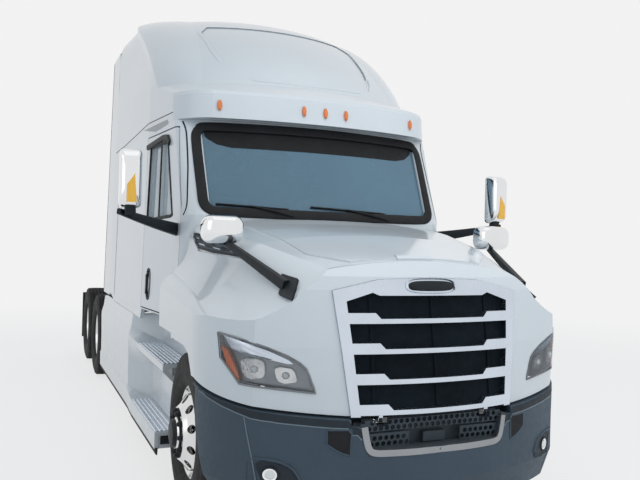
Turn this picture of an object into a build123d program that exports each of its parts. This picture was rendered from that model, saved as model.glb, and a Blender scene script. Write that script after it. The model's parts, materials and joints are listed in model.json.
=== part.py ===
"""A conventional truck tractor with a raised-roof sleeper cab and a tandem drive, in millimetres.

The front faces -Y, the left side is +X and the ground is z = 0.  The origin lies on the ground in the
middle of the tractor's length and width.  Stations written "behind" are distances behind the bumper's face.
"""
import os
from functools import cache
from math import hypot, sqrt

from build123d import *

os.makedirs("parts", exist_ok=True)

# ---- driving dimensions -------------------------------------------------------------------------------
overall_length = 8500.0
front_overhang = 1250.0          # bumper face to front axle
wheelbase = 5910.0               # front axle to the middle of the tandem
tandem_spacing = 1320.0
running_gap = 0.3                # between pieces that seat on each other
swing_gap = 10.0                 # round the doors
hood_gap = 16.0                  # round the hood

tyre_radius = 510.0
tyre_width = 284.0
rim_radius = 292.0
rim_thickness = 12.0
front_track = 2060.0
dual_track = 1830.0              # between the middles of the two twin wheels
dual_spacing = 344.0             # between the two tyres of a twin wheel
kingpin_offset = 190.0           # from the front tyre's middle plane inwards
steering_arm = 200.0

frame_width = 860.0              # outside the rails
frame_depth = 270.0
frame_top = 1000.0
rail_flange = 85.0
rail_thickness = 10.0
frame_start = 180.0              # behind the bumper's face
frame_tail = 120.0               # ahead of the tractor's rear end

body_half_width = 1215.0         # bumper ends, fenders and fairings
bumper_bottom = 280.0
bumper_top = 800.0               # at the middle of the tractor
bumper_rise = 130.0              # from there to the bumper's outer corners
bumper_wall = 40.0
nose_radius = 1800.0             # of the nose in plan
nose_half = 1000.0               # where the nose turns into the corner
bumper_depth = 790.0             # how far back the bumper's top corner reaches

hood_pivot_behind = 100.0
hood_pivot_height = 785.0
hood_wall = 25.0
panel_rise = 9.0                 # of the raised panel along the hood
hood_rear = 1952.0

cab_floor = 1180.0
cab_wall = 60.0
cab_front = 1680.0
cab_rear = 4920.0
door_front = 1965.0
door_rear = 3010.0
door_bottom = 1170.0
door_top = 2600.0
door_knee = 1960.0               # where the door's front edge turns to follow the pillar
door_top_front = 2190.0
belt_height = 1930.0
cab_half_width = 1080.0          # at the door's front edge and the belt
cab_flare = 0.09                 # how much wider the cab grows per length along the door
sleeper_flare = 0.025
side_lean = 0.02                 # how much narrower the cab grows per height
roof_seam = 2665.0
roof_top = 3980.0
dish_depth = 8.0
glass_thickness = 8.0

radiator_behind = 430.0
engine_front = 640.0
engine_rear = 1720.0
gearbox_rear = 2900.0

fifth_wheel_height = 1200.0
fifth_wheel_behind = 7060.0
kingpin_radius = 25.4

# ---- places worked out from them ------------------------------------------------------------------------
front_y = -overall_length / 2


def behind(distance):
    """Y of a station given as a distance behind the bumper's face."""
    return front_y + distance


front_axle_y = behind(front_overhang)
tandem_y = front_axle_y + wheelbase
drive_axle_ys = {"front": tandem_y - tandem_spacing / 2, "rear": tandem_y + tandem_spacing / 2}
axle_z = tyre_radius
frame_bottom = frame_top - frame_depth
kingpin_x = front_track / 2 - kingpin_offset
pivot_y = behind(hood_pivot_behind)
cab_bottom = cab_floor - 30
hood_arm_x = 330.0               # outer face of the frame's arms that carry the hood
hood_pin_radius = 8.0


# ---- helpers --------------------------------------------------------------------------------------------
def save(name, shape):
    shape.label = name
    export_step(shape, f"parts/{name}.step")


def block(x0, x1, y0, y1, z0, z1):
    """A box between two corners."""
    return Pos((x0 + x1) / 2, (y0 + y1) / 2, (z0 + z1) / 2) * Box(abs(x1 - x0), abs(y1 - y0), abs(z1 - z0))


def rod_x(radius, x0, x1, y, z):
    return Pos((x0 + x1) / 2, y, z) * Rot(0, 90, 0) * Cylinder(radius, abs(x1 - x0))


def rod_y(radius, y0, y1, x, z):
    return Pos(x, (y0 + y1) / 2, z) * Rot(90, 0, 0) * Cylinder(radius, abs(y1 - y0))


def rod_z(radius, z0, z1, x, y):
    return Pos(x, y, (z0 + z1) / 2) * Cylinder(radius, abs(z1 - z0))


def other_side(shape):
    return mirror(shape, about=Plane.YZ)


def pair(shape):
    """A shape on the left side with its mirror image on the right, as solids that stay apart."""
    return Compound(children=[*shape.solids(), *other_side(shape).solids()])


def side_plate(points, x0, x1):
    """A plate whose outline is given in (y, z), between two x planes."""
    outline = Plane.YZ * make_face(Polyline(*points, close=True))
    return Pos(x0, 0, 0) * extrude(outline, amount=x1 - x0)


def turned_x(profile, x, y, z):
    """A solid of revolution about an axis along X; its profile is drawn as (x, radius)."""
    outline = make_face(Polyline(*profile, close=True))
    return Pos(x, y, z) * revolve(outline, axis=Axis.X)


# ---- frame ----------------------------------------------------------------------------------------------
def frame():
    rail_y0 = behind(frame_start)
    rail_y1 = overall_length / 2 - frame_tail
    x1 = frame_width / 2
    rail = block(x1 - rail_flange, x1, rail_y0, rail_y1, frame_bottom, frame_top)
    rail -= block(x1 - rail_flange, x1 - rail_thickness, rail_y0, rail_y1,
                  frame_bottom + rail_thickness, frame_top - rail_thickness)
    ladder = rail + other_side(rail)
    # (behind, length along the frame, foot above the rail's bottom, height)
    crossmembers = [(220, 90, 30, 210), (radiator_behind - 10, 150, 5, 45), (3000, 80, 30, 210),
                    (4300, 80, 30, 210), (5650, 80, 30, 210), (7160, 160, 30, 210), (8290, 90, 30, 210)]
    for station, length, foot, height in crossmembers:
        y0 = behind(station)
        ladder += block(-x1 + 5, x1 - 5, y0, y0 + length, frame_bottom + foot, frame_bottom + foot + height)
    # rubber-mounted posts that carry the cab, and the arms that the hood hinges on
    for side in (-1, 1):
        for station in (2000, 4780):
            ladder += rod_z(45, frame_top - 2, cab_bottom - running_gap, side * (x1 - 50), behind(station))
        arm = side_plate([(pivot_y - 16, hood_pivot_height - 14), (pivot_y - 16, hood_pivot_height + 14),
                          (behind(230), hood_pivot_height + 40), (behind(230), hood_pivot_height - 20)],
                         side * hood_arm_x, side * (hood_arm_x - 28))
        ladder += arm
        ladder += rod_x(hood_pin_radius, side * (hood_arm_x - 14), side * (hood_arm_x + 28), pivot_y,
                        hood_pivot_height)
    return ladder


# ---- front axle -----------------------------------------------------------------------------------------
beam_half = 60.0
boss_radius = 45.0
spring_x = 385.0
spring_half = 45.0
spring_seat = axle_z - 60.0
knuckle_gap = 6.0


def front_axle_beam():
    drop = axle_z - 140
    beam_z = axle_z - 60
    flat = kingpin_x - boss_radius - 10
    outline = [(-kingpin_x, axle_z + beam_half), (-kingpin_x, axle_z - beam_half), (-flat, axle_z - beam_half),
               (-560, drop - 50), (560, drop - 50), (flat, axle_z - beam_half), (kingpin_x, axle_z - beam_half),
               (kingpin_x, axle_z + beam_half), (520, beam_z), (-520, beam_z)]
    face = Plane.XZ * make_face(Polyline(*outline, close=True))
    beam = Pos(0, front_axle_y + 45, 0) * extrude(face, amount=90)
    beam = beam - block(-530, 530, front_axle_y - 50, front_axle_y - 12, drop - 25, beam_z - 22)
    beam = beam - block(-530, 530, front_axle_y + 12, front_axle_y + 50, drop - 25, beam_z - 22)
    for side in (-1, 1):
        beam += rod_z(boss_radius, axle_z - beam_half, axle_z + beam_half, side * kingpin_x, front_axle_y)
        beam += rod_z(18, axle_z - beam_half - 62, axle_z + beam_half + 62, side * kingpin_x, front_axle_y)
    return beam


def front_leaf_springs():
    seat = spring_seat + running_gap
    reach = 640.0
    rise = 130.0
    eye = rod_x(30, spring_x - spring_half, spring_x + spring_half, front_axle_y - reach, seat + rise)
    lower = ThreePointArc((front_axle_y - reach, seat + rise - 25), (front_axle_y, seat),
                          (front_axle_y + reach, seat + rise - 25))
    upper = ThreePointArc((front_axle_y - reach, seat + rise + 15), (front_axle_y, seat + 60),
                          (front_axle_y + reach, seat + rise + 15))
    ends = [Line(lower @ 0, upper @ 0), Line(lower @ 1, upper @ 1)]
    leaf = Pos(spring_x - spring_half, 0, 0) * extrude(Plane.YZ * make_face([lower, upper, *ends]),
                                                       amount=2 * spring_half)
    spring = leaf + eye
    spring += Pos(0, 2 * reach, 0) * eye
    spring += block(spring_x - spring_half, spring_x + spring_half, front_axle_y - 70, front_axle_y + 70,
                    seat, seat + 85)
    for y in (front_axle_y - reach, front_axle_y + reach):
        spring += block(spring_x - 30, spring_x + 30, y - 35, y + 35, seat + rise, frame_bottom - running_gap)
    return pair(spring)


def knuckle(side):
    """The left knuckle for side 1, the right one for side -1."""
    bore = 18 + running_gap
    fork_in = boss_radius + knuckle_gap
    top = axle_z + beam_half + knuckle_gap
    low = axle_z - beam_half - knuckle_gap
    body = rod_z(boss_radius, top, top + 56, kingpin_x, front_axle_y)
    body += rod_z(boss_radius, low - 56, low, kingpin_x, front_axle_y)
    body += block(kingpin_x, kingpin_x + fork_in + 26, front_axle_y - 42, front_axle_y + 42, top, top + 56)
    body += block(kingpin_x, kingpin_x + fork_in + 26, front_axle_y - 42, front_axle_y + 42, low - 56, low)
    body += block(kingpin_x + fork_in, kingpin_x + fork_in + 26, front_axle_y - 42, front_axle_y + 42,
                  low - 56, top + 56)
    body -= rod_z(bore, low - 60, top + 60, kingpin_x, front_axle_y)
    body += rod_x(150, kingpin_x + fork_in, kingpin_x + fork_in + 14, front_axle_y, axle_z)
    body += rod_x(bearing_radius, kingpin_x + fork_in, front_track / 2 + dual_spacing / 2, front_axle_y, axle_z)
    arm_z = low - 28
    body += block(kingpin_x - 22, kingpin_x + 22, front_axle_y + 40, front_axle_y + steering_arm,
                  arm_z - 18, arm_z + 18)
    body += rod_z(26, arm_z - 18, arm_z + 18, kingpin_x, front_axle_y + steering_arm)
    body += rod_z(11, arm_z - 62, arm_z, kingpin_x, front_axle_y + steering_arm)
    return body if side > 0 else other_side(body)


arm_z = axle_z - beam_half - knuckle_gap - 28


def tie_rod():
    y = front_axle_y + steering_arm
    z = arm_z - 42
    rod = rod_x(19, -kingpin_x, kingpin_x, y, z)
    for side in (-1, 1):
        rod += rod_z(28, z - 21, z + 21, side * kingpin_x, y)
        rod -= rod_z(11 + running_gap, z - 40, z + 40, side * kingpin_x, y)
    return rod


# ---- wheels ---------------------------------------------------------------------------------------------
hand_holes = 10
bearing_radius = 34.0


def tyre(x, y):
    half = tyre_width / 2
    # (across the tyre, radius)
    profile = [(-half + 42, rim_radius), (-half + 12, rim_radius + 30), (-half, rim_radius + 105),
               (-half + 14, tyre_radius - 42), (-half + 40, tyre_radius), (half - 40, tyre_radius),
               (half - 14, tyre_radius - 42), (half, rim_radius + 105), (half - 12, rim_radius + 30),
               (half - 42, rim_radius)]
    return turned_x(profile, x, y, axle_z)


def rim(x, y, disc_side):
    """A disc wheel about the axis; disc_side is +1 where its disc lies towards +X."""
    half = tyre_width / 2 - 40
    rim_seat = rim_radius - running_gap
    face = dual_spacing / 2
    # (across the wheel towards its disc, radius)
    profile = [(-half, rim_seat), (half, rim_seat), (half, rim_seat - 12), (half - 30, 262), (half + 8, 238),
               (face - 26, 190), (face, 165), (face, 110), (face - 20, 110), (face - 20, 150), (face - 42, 182),
               (half - 10, 224), (half - 50, 246), (-half + 60, 246), (-half, rim_seat - 12)]
    wheel = turned_x([(disc_side * across, radius) for across, radius in profile], x, y, axle_z)
    hole = rod_x(27, x, x + disc_side * (face + 10), y, axle_z + 212)
    for step in range(hand_holes):
        wheel -= Pos(0, y, axle_z) * Rot(360 / hand_holes * step, 0, 0) * Pos(0, -y, -axle_z) * hole
    return wheel


def drum(face):
    """A brake drum and hub about the axis, hanging inwards from a wheel's mounting face."""
    # (across the wheel, radius)
    profile = [(face - 280, 208), (face - 280, 178), (face - 150, 170), (face - 150, bearing_radius + 0.5),
               (face + 5, bearing_radius + 0.5), (face + 5, 0), (face + 45, 0), (face + 45, 70), (face + 30, 84),
               (face, 108), (face - 19, 108), (face - 19, 148), (face - 60, 168), (face - 75, 208)]
    return turned_x(profile, 0, 0, 0)


def front_rim(side):
    x = front_track / 2
    wheel = rim(x, front_axle_y, 1) + Pos(0, front_axle_y, axle_z) * drum(x + dual_spacing / 2)
    return wheel if side > 0 else other_side(wheel)


def drive_tyres(side, y):
    middle = side * dual_track / 2
    return Compound(children=[tyre(middle - dual_spacing / 2, y).solid(), tyre(middle + dual_spacing / 2, y).solid()])


def drive_rims(side, y):
    middle = dual_track / 2
    wheels = rim(middle - dual_spacing / 2, y, 1) + rim(middle + dual_spacing / 2, y, -1)
    wheels += Pos(middle, y, axle_z) * drum(0)
    # (across the wheel, radius)
    hub = [(0, 112), (20, 112), (20, 95), (150, 82), (150, 0), (0, 0)]
    wheels += turned_x(hub, middle, y, axle_z)
    return wheels if side > 0 else other_side(wheels)


# ---- rear axles and suspension --------------------------------------------------------------------------
def drive_axles():
    x_end = dual_track / 2 - 5
    axles = None
    shaft_z = axle_z + 60
    for y in drive_axle_ys.values():
        axle = rod_x(62, -dual_track / 2 + 300, dual_track / 2 - 300, y, axle_z)
        axle += rod_x(bearing_radius, -x_end, x_end, y, axle_z)
        axle += Pos(0, y, axle_z) * Sphere(195)
        axle += rod_y(95, y - 330, y, 0, axle_z + 40)
        axles = axle if axles is None else axles + axle
    axles += rod_y(45, drive_axle_ys["front"], drive_axle_ys["rear"], 0, shaft_z)
    axles += rod_y(50, behind(gearbox_rear), drive_axle_ys["front"], 0, shaft_z)
    return axles


def rear_suspension():
    group = None
    for y in drive_axle_ys.values():
        arm = side_plate([(y - 560, frame_bottom - 20), (y - 480, frame_bottom - 20), (y + 60, axle_z + 90),
                          (y + 360, axle_z + 60), (y + 360, axle_z + 10), (y - 60, axle_z - 10),
                          (y - 560, frame_bottom - 120)], 345, 415)
        arm += block(345, 425, y - 600, y - 470, frame_bottom - 130, frame_bottom - running_gap)
        arm += rod_z(125, axle_z + 55, frame_bottom - running_gap, 380, y + 290)
        arm -= rod_x(62 + running_gap, 300, 450, y, axle_z)
        group = arm if group is None else group + arm
    return pair(group)


# ---- drive line and what hangs on the frame -------------------------------------------------------------
def engine_and_gearbox():
    engine = block(-310, 310, behind(engine_front), behind(engine_rear), 720, 1480)
    engine += block(-240, 240, behind(engine_rear), behind(gearbox_rear) - running_gap, 720, 1080)
    web = frame_width / 2 - rail_thickness - running_gap
    for station in (engine_front + 300, engine_rear + 80):
        engine += block(-web, web, behind(station), behind(station + 90), 830, 900)
    return engine


def radiator():
    y0, y1 = behind(radiator_behind), behind(radiator_behind + 130)
    core = block(-330, 330, y0, y1, frame_bottom + 50 + running_gap, frame_top + 60)
    return core + block(-430, 430, y0, y1, frame_top + 5, 1450)


tank_radius = 320.0


def tanks_and_boxes():
    x = frame_width / 2 + 40 + tank_radius
    tank = rod_y(tank_radius, behind(3350), behind(4750), x, 640)
    for station in (3550, 4450):
        tank += block(frame_width / 2 + running_gap, x, behind(station), behind(station + 90), frame_bottom - 20,
                      frame_top - 60)
    box = block(frame_width / 2 + running_gap, 940, behind(1980), behind(2850), 360, 960)
    both = pair(tank)
    return Compound(children=[*both.solids(), *pair(box).solids()])


def deck_plate():
    y0, y1 = behind(5080), behind(5720)
    plate = block(-frame_width / 2 - 40, frame_width / 2 + 40, y0, y1, frame_top, frame_top + 25)
    for row in range(9):
        x = -400 + 100 * row
        plate -= block(x - 30, x + 30, y0 + 60, y1 - 60, frame_top - 5, frame_top + 30)
    return plate


def mud_flaps():
    y1 = overall_length / 2
    flap = block(dual_track / 2 - 310, dual_track / 2 + 310, y1 - 12, y1, 240, 880)
    flap += block(frame_width / 2, dual_track / 2 + 310, y1 - 60, y1, 860, 910)
    flap += block(frame_width / 2 - 30, frame_width / 2 + 20, y1 - frame_tail + running_gap, y1 - 12, 850, 920)
    return pair(flap)


# ---- bumper ---------------------------------------------------------------------------------------------
def nose_behind(x, radius=nose_radius):
    """How far the nose's plan curve lies behind its foremost point at a distance x off the middle."""
    return radius - sqrt(radius * radius - x * x)


def nose_face(z, inset, lean, depth, radius=nose_radius, corner_lean=None):
    """The nose's plan at one height: a wide front arc, two corner arcs and straight sides.

    lean is how far the nose stands back at this height, and corner_lean how far its corners do.
    """
    corner_lean = lean if corner_lean is None else corner_lean
    front = behind(lean + inset)
    edge = nose_half - 0.6 * inset
    edge_y = front + nose_behind(edge, radius)
    side = body_half_width - inset
    corner_y = behind(bumper_depth + corner_lean) - 0.2 * inset
    mid = (edge + 0.64 * (side - edge), edge_y + 0.36 * (corner_y - edge_y))
    rear = behind(depth)
    edges = [ThreePointArc((-edge, edge_y), (0, front), (edge, edge_y)),
             ThreePointArc((edge, edge_y), mid, (side, corner_y)),
             Line((side, corner_y), (side, rear)),
             Line((side, rear), (-side, rear)),
             Line((-side, rear), (-side, corner_y)),
             ThreePointArc((-side, corner_y), (-mid[0], mid[1]), (-edge, edge_y))]
    return Plane.XY.offset(z) * make_face(edges)


def bowed(start, end, bow):
    """An arc between two points whose middle stands off their chord by bow, to its left."""
    dx, dz = end[0] - start[0], end[1] - start[1]
    length = hypot(dx, dz)
    middle = ((start[0] + end[0]) / 2 - bow * dz / length, (start[1] + end[1]) / 2 + bow * dx / length)
    return ThreePointArc(start, middle, end)


def front_plate(points, depth, mirrored=False):
    """A plate cut along Y from an outline in (x, z), from the bumper's face back to a depth."""
    face = Plane.XZ * make_face(Polyline(*points, close=True))
    plate = Pos(0, behind(depth), 0) * extrude(face, amount=depth + 100)
    return plate + other_side(plate) if mirrored else plate


trim_width = 34.0
mesh_behind = 76.0
mesh_thickness = 12.0
trim_depth = 122.0
trim_low = 605.0
trim_high = 774.0
trim_outline = [(-425, trim_low), (425, trim_low), (470, 770), (470, trim_high), (-470, trim_high), (-470, 770)]
post_notch = 520.0               # half width of the notch under the grille's posts
fog_x = 904.0
fog_station = 250.0
fog_height = 500.0
fog_wide = 225.0
fog_tall = 125.0


def bumper():
    depth = bumper_depth + 10
    top = bumper_top + bumper_rise
    outer = loft([nose_face(bumper_bottom, 60, 0, depth), nose_face(bumper_bottom + 160, 0, 0, depth),
                  nose_face(top, 0, 0, depth)], ruled=True)
    inner = loft([nose_face(bumper_bottom - 10, 60 + bumper_wall, 0, depth + 10),
                  nose_face(bumper_bottom + 160, bumper_wall, 0, depth + 10),
                  nose_face(top + 10, bumper_wall, 0, depth + 10)], ruled=True)
    shell = outer - inner
    shell -= block(-2000, 2000, behind(depth - 60), behind(depth + 60), 0, 2000)
    # the top edge rises from the middle to the corners and the ends are cut off towards the wheel
    y0, y1 = behind(-20), behind(depth + 20)
    above = side_plate([(y0, bumper_top), (behind(90), bumper_top), (behind(bumper_depth), top - 5),
                        (y1, top), (y1, top + 300), (y0, top + 300)], -1400, 1400)
    behind_wheel = side_plate([(behind(480), bumper_bottom - 20), (behind(600), 430), (behind(650), 520),
                               (behind(715), 660), (behind(785), top + 20), (y1, top + 20),
                               (y1, bumper_bottom - 20)], -1400, 1400)
    shell = shell - above - behind_wheel
    # a shelf along the top edge, under the hood
    shelf = outer - loft([nose_face(z, 120, 0, depth + 10) for z in (bumper_bottom, top + 10)], ruled=True)
    under = side_plate([(y0, bumper_top - 16), (behind(90), bumper_top - 16), (behind(bumper_depth), top - 21),
                        (behind(bumper_depth), top - 5), (behind(90), bumper_top), (y0, bumper_top)], -1400, 1400)
    shell += (shelf & under) - behind_wheel
    opening = [(x + running_gap if x > 0 else x - running_gap, z) for x, z in trim_outline]
    opening[0:2] = [(x, trim_low - running_gap) for x, z in opening[0:2]]
    shell -= front_plate(opening, 400)
    shell -= block(-post_notch, post_notch, behind(-100), behind(300), trim_high - 10, 1000)
    for side in (-1, 1):
        shell -= Pos(side * 579, behind(100), 710) * Box(110, 300, 60)
        shell -= Pos(side * fog_x, behind(fog_station), fog_height) * Box(fog_wide + 2 * running_gap, 320,
                                                                          fog_tall + 2 * running_gap)
        shell += block(side * 560, side * 625, behind(115), behind(frame_start + 80), 745, 795)
        shell += block(side * (frame_width / 2 + running_gap), side * 625, behind(frame_start + 10),
                       behind(frame_start + 80), 745, 795)
    return shell


cell_pitch = 36.0
cell_radius = 14.5


def honeycomb(x0, x1, z0, z1):
    """A plate with rows of hexagonal holes, in the plane of the bumper's mesh."""
    y = behind(mesh_behind)
    plate = block(x0, x1, y, y + mesh_thickness, z0, z1)
    row_pitch = cell_pitch * 0.87
    rows = int((z1 - z0 - 2 * cell_radius) / row_pitch) + 1
    columns = int((x1 - x0 - 2 * cell_radius) / cell_pitch) + 1
    z_start = (z0 + z1) / 2 - row_pitch * (rows - 1) / 2
    x_start = (x0 + x1) / 2 - cell_pitch * (columns - 1) / 2
    cells = []
    for row in range(rows):
        odd = row % 2
        for column in range(columns - odd):
            x = x_start + cell_pitch * (column + odd / 2)
            cells.append(Pos(x, z_start + row_pitch * row) * RegularPolygon(cell_radius, 6, rotation=30))
    holes = extrude(Plane.XZ * Sketch(children=cells), amount=3 * mesh_thickness, both=True)
    return plate - Pos(0, y, 0) * holes


def bumper_grille():
    """A bright U trim round the centre opening, and a full-width strip over two blocks of honeycomb."""
    y = behind(mesh_behind)
    t = trim_width
    inside = [(-425 + 0.6 * t, trim_low + t), (425 - 0.6 * t, trim_low + t), (470 - t, 770), (470 - t, 850),
              (-470 + t, 850), (-470 + t, 770)]
    reveal = front_plate(trim_outline, mesh_behind + 120) - front_plate(inside, mesh_behind + 140)
    trim = reveal & (nose_prism(0) - nose_prism(trim_depth))
    back = block(-440, 440, y + 46, y + 56, 620, 790) + block(-70, 70, y + 10, y + 50, 645, 700)
    strip = honeycomb(-440, 440, 728, 790)
    blocks = honeycomb(-415, -165, 632, 716) + honeycomb(165, 415, 632, 716)
    mesh = back + strip + blocks
    # slots for the hood's hinge arms
    for side in (-1, 1):
        mesh -= block(side * (hood_arm_x - 33), side * (hood_arm_x + 38), y - 10, y + 60, 752, 800)
    return trim + mesh


def nose_prism(inset):
    """The bumper's plan, drawn in by inset, as a straight prism."""
    return extrude(nose_face(bumper_bottom, inset, 0, bumper_depth + 10), amount=bumper_top + 100 - bumper_bottom)


# ---- hood -----------------------------------------------------------------------------------------------
def hood_nose(inset):
    """The nose in plan, leaning back and flattening with height."""
    # (height, lean at the middle, radius of the front arc, lean at the corners)
    table = [(560, 22, 1800, 20), (850, 24, 1850, 22), (1180, 75, 2400, 58), (1490, 138, 3000, 150),
             (1565, 168, 3200, 220), (1700, 345, 3200, 420), (2100, 880, 3200, 900)]
    return loft([nose_face(z, inset, lean, hood_rear + 60, radius, corner)
                 for z, lean, radius, corner in table], ruled=True)


def hood_section(station, edge_z, crest_x, crest_z, foot_x, foot_z, ridge_x, ridge_z, middle_z, inset):
    """A cut across the hood: side, fender crown, hollow flank, rounded ridge and crowned top."""
    i = inset
    low_z = 500.0
    side = (body_half_width - i, low_z)
    edge = (body_half_width - i, edge_z - 0.5 * i)
    crest = (crest_x - 0.7 * i, crest_z - 0.8 * i)
    foot = (foot_x - 0.9 * i, foot_z - 0.5 * i)
    ridge = (ridge_x - 0.7 * i, ridge_z - i)
    middle = (0, middle_z - i)
    right = [Line(side, edge), bowed(edge, crest, -14), bowed(crest, foot, 22), bowed(foot, ridge, -16)]
    left = [mirror(piece, about=Plane.YZ) for piece in right]
    top = ThreePointArc(ridge, middle, (-ridge[0], ridge[1]))
    floor = Line(side, (-side[0], low_z))
    return Pos(0, behind(station), 0) * (Plane.XZ * make_face([*right, top, *left, floor]))


@cache
def hood_body(inset):
    """The hood's outer form drawn in by inset."""
    # (behind, fender edge, crest x and height, hollow's foot x and height, ridge x and height, middle height)
    table = [(-60, 1140, 1130, 1200, 800, 1360, 560, 1545, 1590),
             (300, 1200, 1150, 1270, 800, 1450, 600, 1605, 1655),
             (900, 1310, 1155, 1385, 940, 1600, 800, 1735, 1795),
             (1500, 1370, 1140, 1465, 1010, 1700, 920, 1835, 1875),
             (hood_rear + (40 if inset else 0), 1400, 1125, 1505, 1050, 1750, 985, 1890, 1975)]
    return hood_nose(inset) & loft([hood_section(*row, inset) for row in table], ruled=True)


# (behind, height)
arch_outline = [(700, 0), (770, 700), (850, 950), (950, 1060), (1080, 1092), (1450, 1092), (1600, 1050),
                (1700, 960), (1800, 0)]


def hood_shell():
    shell = hood_body(0) - hood_body(hood_wall)
    # wheel arches
    arch = [(behind(u), z) for u, z in arch_outline]
    shell -= side_plate(arch, -1400, 1400)
    # the lower edge, a hood gap above the bumper's top, and behind the wheel
    top = bumper_top + bumper_rise
    g = hood_gap
    y0 = behind(-30)
    below = side_plate([(y0, 0), (y0, bumper_top + g), (behind(90), bumper_top + g),
                        (behind(bumper_depth - 6), top + g), (behind(bumper_depth + 60), top + g),
                        (behind(bumper_depth + 60), 0)], -1400, 1400)
    shell -= below
    shell -= block(-1400, 1400, behind(1500), behind(2000), 0, 1120)
    shell -= front_plate(surround_outline(running_gap), 420)
    for side in (-1, 1):
        shell -= Pos(0, behind(640), 0) * extrude(Plane.XZ * lamp_outline(side, 0), amount=800)
    # the raised panel along the hood's middle
    panel = [(440, 330), (620, 560), (760, hood_rear - 120), (-760, hood_rear - 120), (-620, 560), (-440, 330)]
    outline = make_face(Polyline(*[(x, behind(u)) for x, u in panel], close=True))
    raised = hood_body(-panel_rise) - hood_body(0.5 * hood_wall)
    shell += raised & (Pos(0, 0, 1500) * extrude(outline, amount=600))
    # the black vent along each flank: a shallow recess with two louvres
    recess = hood_body(-20) - hood_body(14)
    vent = [(behind(800), 1632), (behind(1600), 1668), (behind(1880), 1822), (behind(860), 1664)]
    louvres = side_plate([(behind(900), 1655), (behind(1700), 1722), (behind(1716), 1732), (behind(900), 1661)],
                         800, 1200)
    louvres += side_plate([(behind(900), 1663), (behind(1780), 1766), (behind(1796), 1776), (behind(900), 1668)],
                          800, 1200)
    vent = (recess & side_plate(vent, 800, 1200)) - (louvres & hood_body(4))
    shell = shell - vent - other_side(vent)
    shell -= cab_body(-hood_gap)
    return shell


def lamp_outline(side, inset):
    """A headlamp's outline in (x, z): a wedge that rises to a tip outboard."""
    i = inset
    tip, bend, foot = (1148 - i, 1240 - 2 * i), (742 + i, 1072 - i), (694 + i, 936 + i)
    heel, flank = (1062 - i, 972 + i), (1138 - i, 1100)
    edges = [ThreePointArc(tip, (940, 1176 - i), bend), Line(bend, foot), Line(foot, heel), Line(heel, flank),
             Line(flank, tip)]
    face = make_face(edges)
    return face if side > 0 else mirror(face, about=Plane.YZ)


lamp_depth = 90.0


def headlamps():
    body = hood_body(-4) - hood_body(hood_wall + lamp_depth)
    lens = extrude(Plane.XZ * lamp_outline(1, running_gap), amount=800)
    lamp = body & (Pos(0, behind(640), 0) * lens)
    return pair(lamp)


bar_count = 4
bar_low = 820.0                  # the lowest bar's lower edge
bar_pitch = 163.0
bar_thin = 26.0
bar_thick = 58.0
post_low = 52.0                  # the surround's side posts' width at the bottom
post_high = 68.0                 # and at the top
surround_low = 812.0
surround_half_low = 500.0
surround_half_high = 602.0
surround_shoulder = 1488.0
surround_top = 1562.0


def surround_outline(gap):
    g = gap
    return [(-surround_half_low - g, surround_low - 150), (surround_half_low + g, surround_low - 150),
            (surround_half_high + g, surround_shoulder + g), (330, surround_top - 12 + g), (0, surround_top + g),
            (-330, surround_top - 12 + g), (-surround_half_high - g, surround_shoulder + g)]


def post_inside(z):
    """The inner edge of a side post at one height."""
    share = (z - surround_low) / (surround_shoulder - surround_low)
    outer = surround_half_low + 18 + share * (surround_half_high - surround_half_low - 18)
    return outer - post_low - share * (post_high - post_low)


@cache
def grille():
    """The surround and its bars, each thick at its ends and stepped down to a thin middle."""
    ring = front_plate(surround_outline(0), 420)
    ring -= block(-700, 700, behind(-200), behind(500), 0, surround_low)
    window = [(-post_inside(surround_low), surround_low - 10), (post_inside(surround_low), surround_low - 10),
              (post_inside(1430), 1430), (post_inside(1430) - 150, 1478), (post_inside(1430) - 190, 1462),
              (-post_inside(1430) + 190, 1462), (-post_inside(1430) + 150, 1478), (-post_inside(1430), 1430)]
    ring -= front_plate(window, 440)
    for row in range(bar_count):
        z = bar_low + bar_pitch * row
        half = post_inside(z) + 20
        step = half - 200
        bar = [(-half, z), (half, z), (half, z + bar_thick), (step + 30, z + bar_thick), (step, z + bar_thin),
               (-step, z + bar_thin), (-step - 30, z + bar_thick), (-half, z + bar_thick)]
        ring += front_plate(bar, 420)
    ring = ring & (hood_body(-12) - hood_body(34))
    # the hood's hinge arms, down from the lowest bar to the pins
    for side in (-1, 1):
        x0, x1 = side * (hood_arm_x + running_gap), side * (hood_arm_x + 26)
        arm = side_plate([(pivot_y - 12, hood_pivot_height - 6), (pivot_y - 2, hood_pivot_height + 11),
                          (pivot_y - 16, bar_low + 8), (pivot_y - 30, bar_low + 8)], x0, x1)
        arm += rod_x(hood_pin_radius + 6, x0, x1, pivot_y, hood_pivot_height)
        ring += arm - rod_x(hood_pin_radius + running_gap, x0 - side * 5, x1 + side * 5, pivot_y,
                            hood_pivot_height)
    return ring


def grille_mesh():
    """The dark insect screen behind the bars, with its centre and side posts."""
    outline = [(-surround_half_low - 10, surround_low + 6), (surround_half_low + 10, surround_low + 6),
               (surround_half_high - 8, surround_shoulder - 8), (330, surround_top - 20),
               (-330, surround_top - 20), (-surround_half_high + 8, surround_shoulder - 8)]
    screen = front_plate(outline, 420) & (hood_body(34 + running_gap) - hood_body(48))
    posts = block(-9, 9, behind(0), behind(420), 850, 1450)
    for side in (-1, 1):
        posts += block(side * 372, side * 388, behind(0), behind(420), 850, 1450)
    return screen + (posts & (hood_body(26) - hood_body(40)) - grille())


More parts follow.
